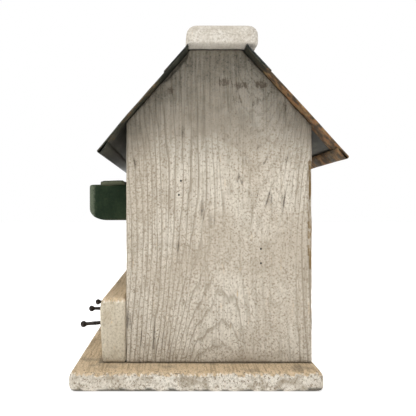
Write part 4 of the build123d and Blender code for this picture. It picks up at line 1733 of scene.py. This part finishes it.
@dataclass
class FastenerHeads:
    """The heads of a group of nails or screws, set on the ends of their CAD solids."""

    name: str
    nodes: dict[str, Facing]
    radius: float
    dome: float
    kind: HeadKind
    body: str = "house"
    seed: int = 1
    sink: float = 0.0

    def islands(self, node: str) -> list[list[Vector]]:
        """Splits a CAD node into its separate fasteners.

        Args:
            node: The node's name.

        Returns:
            The points of each fastener.
        """
        form = bmesh.new()
        form.from_mesh(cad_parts[node].data)
        bmesh.ops.remove_doubles(form, verts=form.verts, dist=0.01 * MM)
        seen, groups = set(), []
        for start in form.verts:
            if start in seen:
                continue
            stack, group = [start], []
            seen.add(start)
            while stack:
                vertex = stack.pop()
                group.append(vertex.co.copy())
                for edge in vertex.link_edges:
                    other = edge.other_vert(vertex)
                    if other not in seen:
                        seen.add(other)
                        stack.append(other)
            groups.append(group)
        form.free()
        return groups

    def places(self) -> list[tuple[Vector, Vector]]:
        """Finds where each head sits.

        Returns:
            Each head's place and the way that it faces.
        """
        found = []
        for node, facing_at in self.nodes.items():
            for group in self.islands(node):
                facing = facing_at(sum(group, Vector()) / len(group))
                top = max(point.dot(facing) for point in group)
                crown = [point for point in group if point.dot(facing) > top - 0.05 * MM]
                found.append((sum(crown, Vector()) / len(crown) - facing * self.sink, facing))
        return found

    def tree(self) -> bpy.types.NodeTree:
        """Builds the nodes that put a head on every point.

        Returns:
            The node tree, with its sizes as named inputs.
        """
        tree = bpy.data.node_groups.new(self.name, "GeometryNodeTree")
        face = tree.interface
        face.new_socket("Points", in_out="INPUT", socket_type="NodeSocketGeometry")
        for title in ("Head radius", "Dome height", "Slot width"):
            face.new_socket(title, in_out="INPUT", socket_type="NodeSocketFloat")
        face.new_socket("Seed", in_out="INPUT", socket_type="NodeSocketInt")
        face.new_socket("Finish", in_out="INPUT", socket_type="NodeSocketMaterial")
        face.new_socket("Heads", in_out="OUTPUT", socket_type="NodeSocketGeometry")
        link = tree.links.new
        given = tree.nodes.new("NodeGroupInput").outputs
        ball = tree.nodes.new("GeometryNodeMeshUVSphere")
        ball.inputs["Segments"].default_value = 20
        ball.inputs["Rings"].default_value = 10
        ball.inputs["Radius"].default_value = 1.0
        size = tree.nodes.new("ShaderNodeCombineXYZ")
        link(given["Head radius"], size.inputs["X"])
        link(given["Head radius"], size.inputs["Y"])
        link(given["Dome height"], size.inputs["Z"])
        flat = tree.nodes.new("GeometryNodeTransform")
        link(ball.outputs["Mesh"], flat.inputs["Geometry"])
        link(size.outputs[0], flat.inputs["Scale"])
        head = flat.outputs["Geometry"]
        if self.kind is HeadKind.SLOTTED:
            head = self.slotted(tree, given, head)
        facing = tree.nodes.new("GeometryNodeInputNamedAttribute")
        facing.data_type = "FLOAT_VECTOR"
        facing.inputs["Name"].default_value = "facing"
        turn = tree.nodes.new("FunctionNodeAlignRotationToVector")
        turn.axis = "Z"
        link(facing.outputs[0], turn.inputs["Vector"])
        put = tree.nodes.new("GeometryNodeInstanceOnPoints")
        link(given["Points"], put.inputs["Points"])
        link(head, put.inputs["Instance"])
        link(turn.outputs[0], put.inputs["Rotation"])
        vary = tree.nodes.new("FunctionNodeRandomValue")
        vary.data_type = "FLOAT"
        vary.inputs[2].default_value = 0.9
        vary.inputs[3].default_value = 1.08
        link(given["Seed"], vary.inputs["Seed"])
        link(vary.outputs[1], put.inputs["Scale"])
        spin = tree.nodes.new("FunctionNodeRandomValue")
        spin.data_type = "FLOAT_VECTOR"
        spin.inputs[0].default_value = (-0.03, -0.03, 0.0)
        spin.inputs[1].default_value = (0.03, 0.03, math.pi)
        link(given["Seed"], spin.inputs["Seed"])
        twist = tree.nodes.new("GeometryNodeRotateInstances")
        link(put.outputs[0], twist.inputs["Instances"])
        link(spin.outputs[0], twist.inputs["Rotation"])
        real = tree.nodes.new("GeometryNodeRealizeInstances")
        link(twist.outputs[0], real.inputs[0])
        dress = tree.nodes.new("GeometryNodeSetMaterial")
        link(real.outputs[0], dress.inputs["Geometry"])
        link(given["Finish"], dress.inputs["Material"])
        link(dress.outputs[0], tree.nodes.new("NodeGroupOutput").inputs[0])
        return tree

    def slotted(
        self, tree: bpy.types.NodeTree, given: bpy.types.NodeOutputs, head: bpy.types.NodeSocket
    ) -> bpy.types.NodeSocket:
        """Cuts a driver slot across the head.

        Args:
            tree: The tree being built.
            given: The tree's inputs.
            head: The plain head.

        Returns:
            The slotted head.
        """
        bar = tree.nodes.new("GeometryNodeMeshCube")
        size = tree.nodes.new("ShaderNodeCombineXYZ")
        size.inputs["X"].default_value = 4.0 * self.radius
        tree.links.new(given["Slot width"], size.inputs["Y"])
        tree.links.new(given["Dome height"], size.inputs["Z"])
        tree.links.new(size.outputs[0], bar.inputs["Size"])
        lift = tree.nodes.new("GeometryNodeTransform")
        tree.links.new(bar.outputs["Mesh"], lift.inputs["Geometry"])
        lift.inputs["Translation"].default_value = (0.0, 0.0, 0.95 * self.dome)
        cut = tree.nodes.new("GeometryNodeMeshBoolean")
        cut.operation = "DIFFERENCE"
        cut.solver = "MANIFOLD"
        tree.links.new(head, cut.inputs["Mesh 1"])
        tree.links.new(lift.outputs[0], cut.inputs["Mesh 2"])
        return cut.outputs["Mesh"]

    def build(self, finish: bpy.types.Material) -> None:
        """Sets the heads and bakes them to one plain mesh.

        Args:
            finish: The metal.
        """
        places = self.places()
        mesh = bpy.data.meshes.new(self.name)
        mesh.from_pydata([place for place, _facing in places], [], [])
        facing = mesh.attributes.new("facing", "FLOAT_VECTOR", "POINT")
        facing.data.foreach_set("vector", [c for _place, way in places for c in way])
        piece = object_from(mesh, self.name)
        tree = self.tree()
        maker = piece.modifiers.new("heads", "NODES")
        maker.node_group = tree
        sizes = {
            "Head radius": self.radius, "Dome height": self.dome, "Slot width": 0.36 * self.radius,
            "Seed": self.seed, "Finish": finish,
        }
        for socket in tree.interface.items_tree:
            if socket.in_out == "INPUT" and socket.name in sizes:
                maker[socket.identifier] = sizes[socket.name]
        settled(piece)
        if self.kind is HeadKind.HAMMERED:
            smooth(piece.data)
        enlist(piece, finish, self.body, "dull_steel", *self.nodes)


def sideways(point: Vector) -> Vector:
    """Faces out of the nearer gable."""
    return Vector((math.copysign(1.0, point.x), 0.0, 0.0))


def off_slope(point: Vector) -> Vector:
    """Faces out of the roof slope that a point is on.

    Args:
        point: The point.

    Returns:
        The direction.
    """
    slope = FRONT_SLOPE if point.y < (FRONT_SLOPE.top.x + REAR_SLOPE.top.x) / 2 else REAR_SLOPE
    return Vector((0.0, slope.out.x, slope.out.y))


def facing(x: float, y: float, z: float) -> Facing:
    """Makes a rule that always faces one way."""
    return lambda _point: Vector((x, y, z))


@dataclass
class Fixings:
    """Every nail and screw of the house."""

    def build(self) -> None:
        """Builds the heads, group by group."""
        steel = AgedMetal(
            "old_steel", metal=(0.10, 0.095, 0.085), tarnish=(0.04, 0.036, 0.03), spots=(0.14, 0.06, 0.025),
            shine=0.7, rough=0.5,
        ).build()
        painted = DistressedPaint("painted_heads", Cut(Axis3.Z, Axis3.Y, Axis3.X), rubbed=0.3).build()
        # near-black so that the brad heads read as shaded nail pits: painted shade in the steel's colour
        dark = AgedMetal(
            "brad_steel_pit_shade", metal=(0.02, 0.018, 0.016), tarnish=(0.01, 0.009, 0.008), shine=0.2, rough=0.7
        ).build()
        hammered, slotted = HeadKind.HAMMERED, HeadKind.SLOTTED
        up, down, ahead, back = facing(0, 0, 1), facing(0, 0, -1), facing(0, -1, 0), facing(0, 1, 0)
        FastenerHeads(
            "roof_nail_heads", {"roof_nails": off_slope}, 3.1 * MM, 1.1 * MM, hammered, seed=3, sink=0.5 * MM
        ).build(steel)
        FastenerHeads(
            "wall_nail_heads", {"wall_nails": sideways}, 1.3 * MM, 0.35 * MM, hammered, seed=8, sink=0.3 * MM
        ).build(painted)
        FastenerHeads(
            "board_nail_heads", {"cap_nails": up, "rail_nails": ahead}, 1.5 * MM, 0.4 * MM, hammered,
            seed=4, sink=0.45 * MM,
        ).build(steel)
        # brad heads, near-black to stand for shaded nail pits
        FastenerHeads(
            "brad_heads", {"gable_brads": sideways}, 1.0 * MM, 0.5 * MM, hammered, seed=5, sink=-0.25 * MM
        ).build(dark)
        house_screws = {
            "base_screws": down, "window_box_screws": back, "turn_button_screw": back,
            "lower_hinge_wall_screws": back, "upper_hinge_wall_screws": back,
        }
        FastenerHeads(
            "screw_heads", house_screws, 2.7 * MM, 0.9 * MM, slotted, seed=6, sink=0.7 * MM
        ).build(steel)
        door_screws = {
            "lower_hinge_door_screws": back, "upper_hinge_door_screws": back, "door_knob_screw": ahead,
        }
        FastenerHeads(
            "door_screw_heads", door_screws, 2.6 * MM, 0.9 * MM, slotted, "door", seed=7, sink=0.7 * MM
        ).build(steel)


# ---------------------------------------------------------------- studio


@dataclass
class Studio:
    """A pale floor, soft lights and the camera square to the near gable."""

    lens: float = 49.1
    eye: Vector = Vector((0.719, -0.0192, 0.1709))
    shift_x: float = 0.0774
    shift_y: float = 0.0024
    floor_half: float = 6.0
    ambient: float = 0.29

    def build(self) -> None:
        """Sets up the floor, the lights and the camera."""
        form = bmesh.new()
        bmesh.ops.create_grid(form, x_segments=8, y_segments=8, size=self.floor_half)
        floor = object_from(mesh_from(form, "floor"), "floor")
        floor.data.materials.append(StudioFloor().build())
        self.light("key", (0.9, -1.0, 1.5), 1.4, 20.0)
        self.light("fill", (1.2, 1.2, 0.9), 1.6, 6.0)
        self.light("top", (0.0, 0.1, 1.9), 1.6, 13.0)
        self.light("back", (-1.4, 0.4, 1.2), 1.6, 10.0)
        world = bpy.data.worlds.new("studio")
        world.use_nodes = True
        back = world.node_tree.nodes["Background"]
        back.inputs["Color"].default_value = (1.0, 1.0, 1.0, 1.0)
        seen = world.node_tree.nodes.new("ShaderNodeLightPath")
        level = world.node_tree.nodes.new("ShaderNodeMapRange")
        level.inputs["To Min"].default_value = self.ambient
        world.node_tree.links.new(seen.outputs["Is Camera Ray"], level.inputs["Value"])
        world.node_tree.links.new(level.outputs["Result"], back.inputs["Strength"])
        bpy.context.scene.world = world
        bpy.context.scene.view_settings.view_transform = "Standard"
        lens = bpy.data.cameras.new("camera")
        lens.lens = self.lens
        lens.sensor_width = 36.0
        lens.shift_x = self.shift_x
        lens.shift_y = self.shift_y
        camera = object_from(lens, "camera")
        camera.location = self.eye
        camera.rotation_euler = (math.pi / 2, 0.0, math.pi / 2)
        bpy.context.scene.camera = camera

    def light(self, name: str, place: Sequence[float], size: float, power: float) -> None:
        """Hangs a soft square light that faces the house.

        Args:
            name: Its name.
            place: Where it hangs.
            size: The length of its side.
            power: Its power in watts.
        """
        data = bpy.data.lights.new(name, "AREA")
        data.size = size
        data.energy = power
        lamp = object_from(data, name)
        lamp.location = place
        aim = Vector((0.0, 0.0, 0.16)) - Vector(place)
        lamp.rotation_euler = aim.to_track_quat("-Z", "Y").to_euler()


def main() -> None:
    """Builds every sub-assembly in order, then the studio."""
    logging.basicConfig(level=logging.INFO, format="%(name)s: %(message)s")
    for part in (Carcass(), TinRoof(), FrontFittings(), CleanoutDoor(), Fixings()):
        LOG.info("building the %s", type(part).__name__)
        part.build()
    Studio().build()


if __name__ == "__main__":
    main()
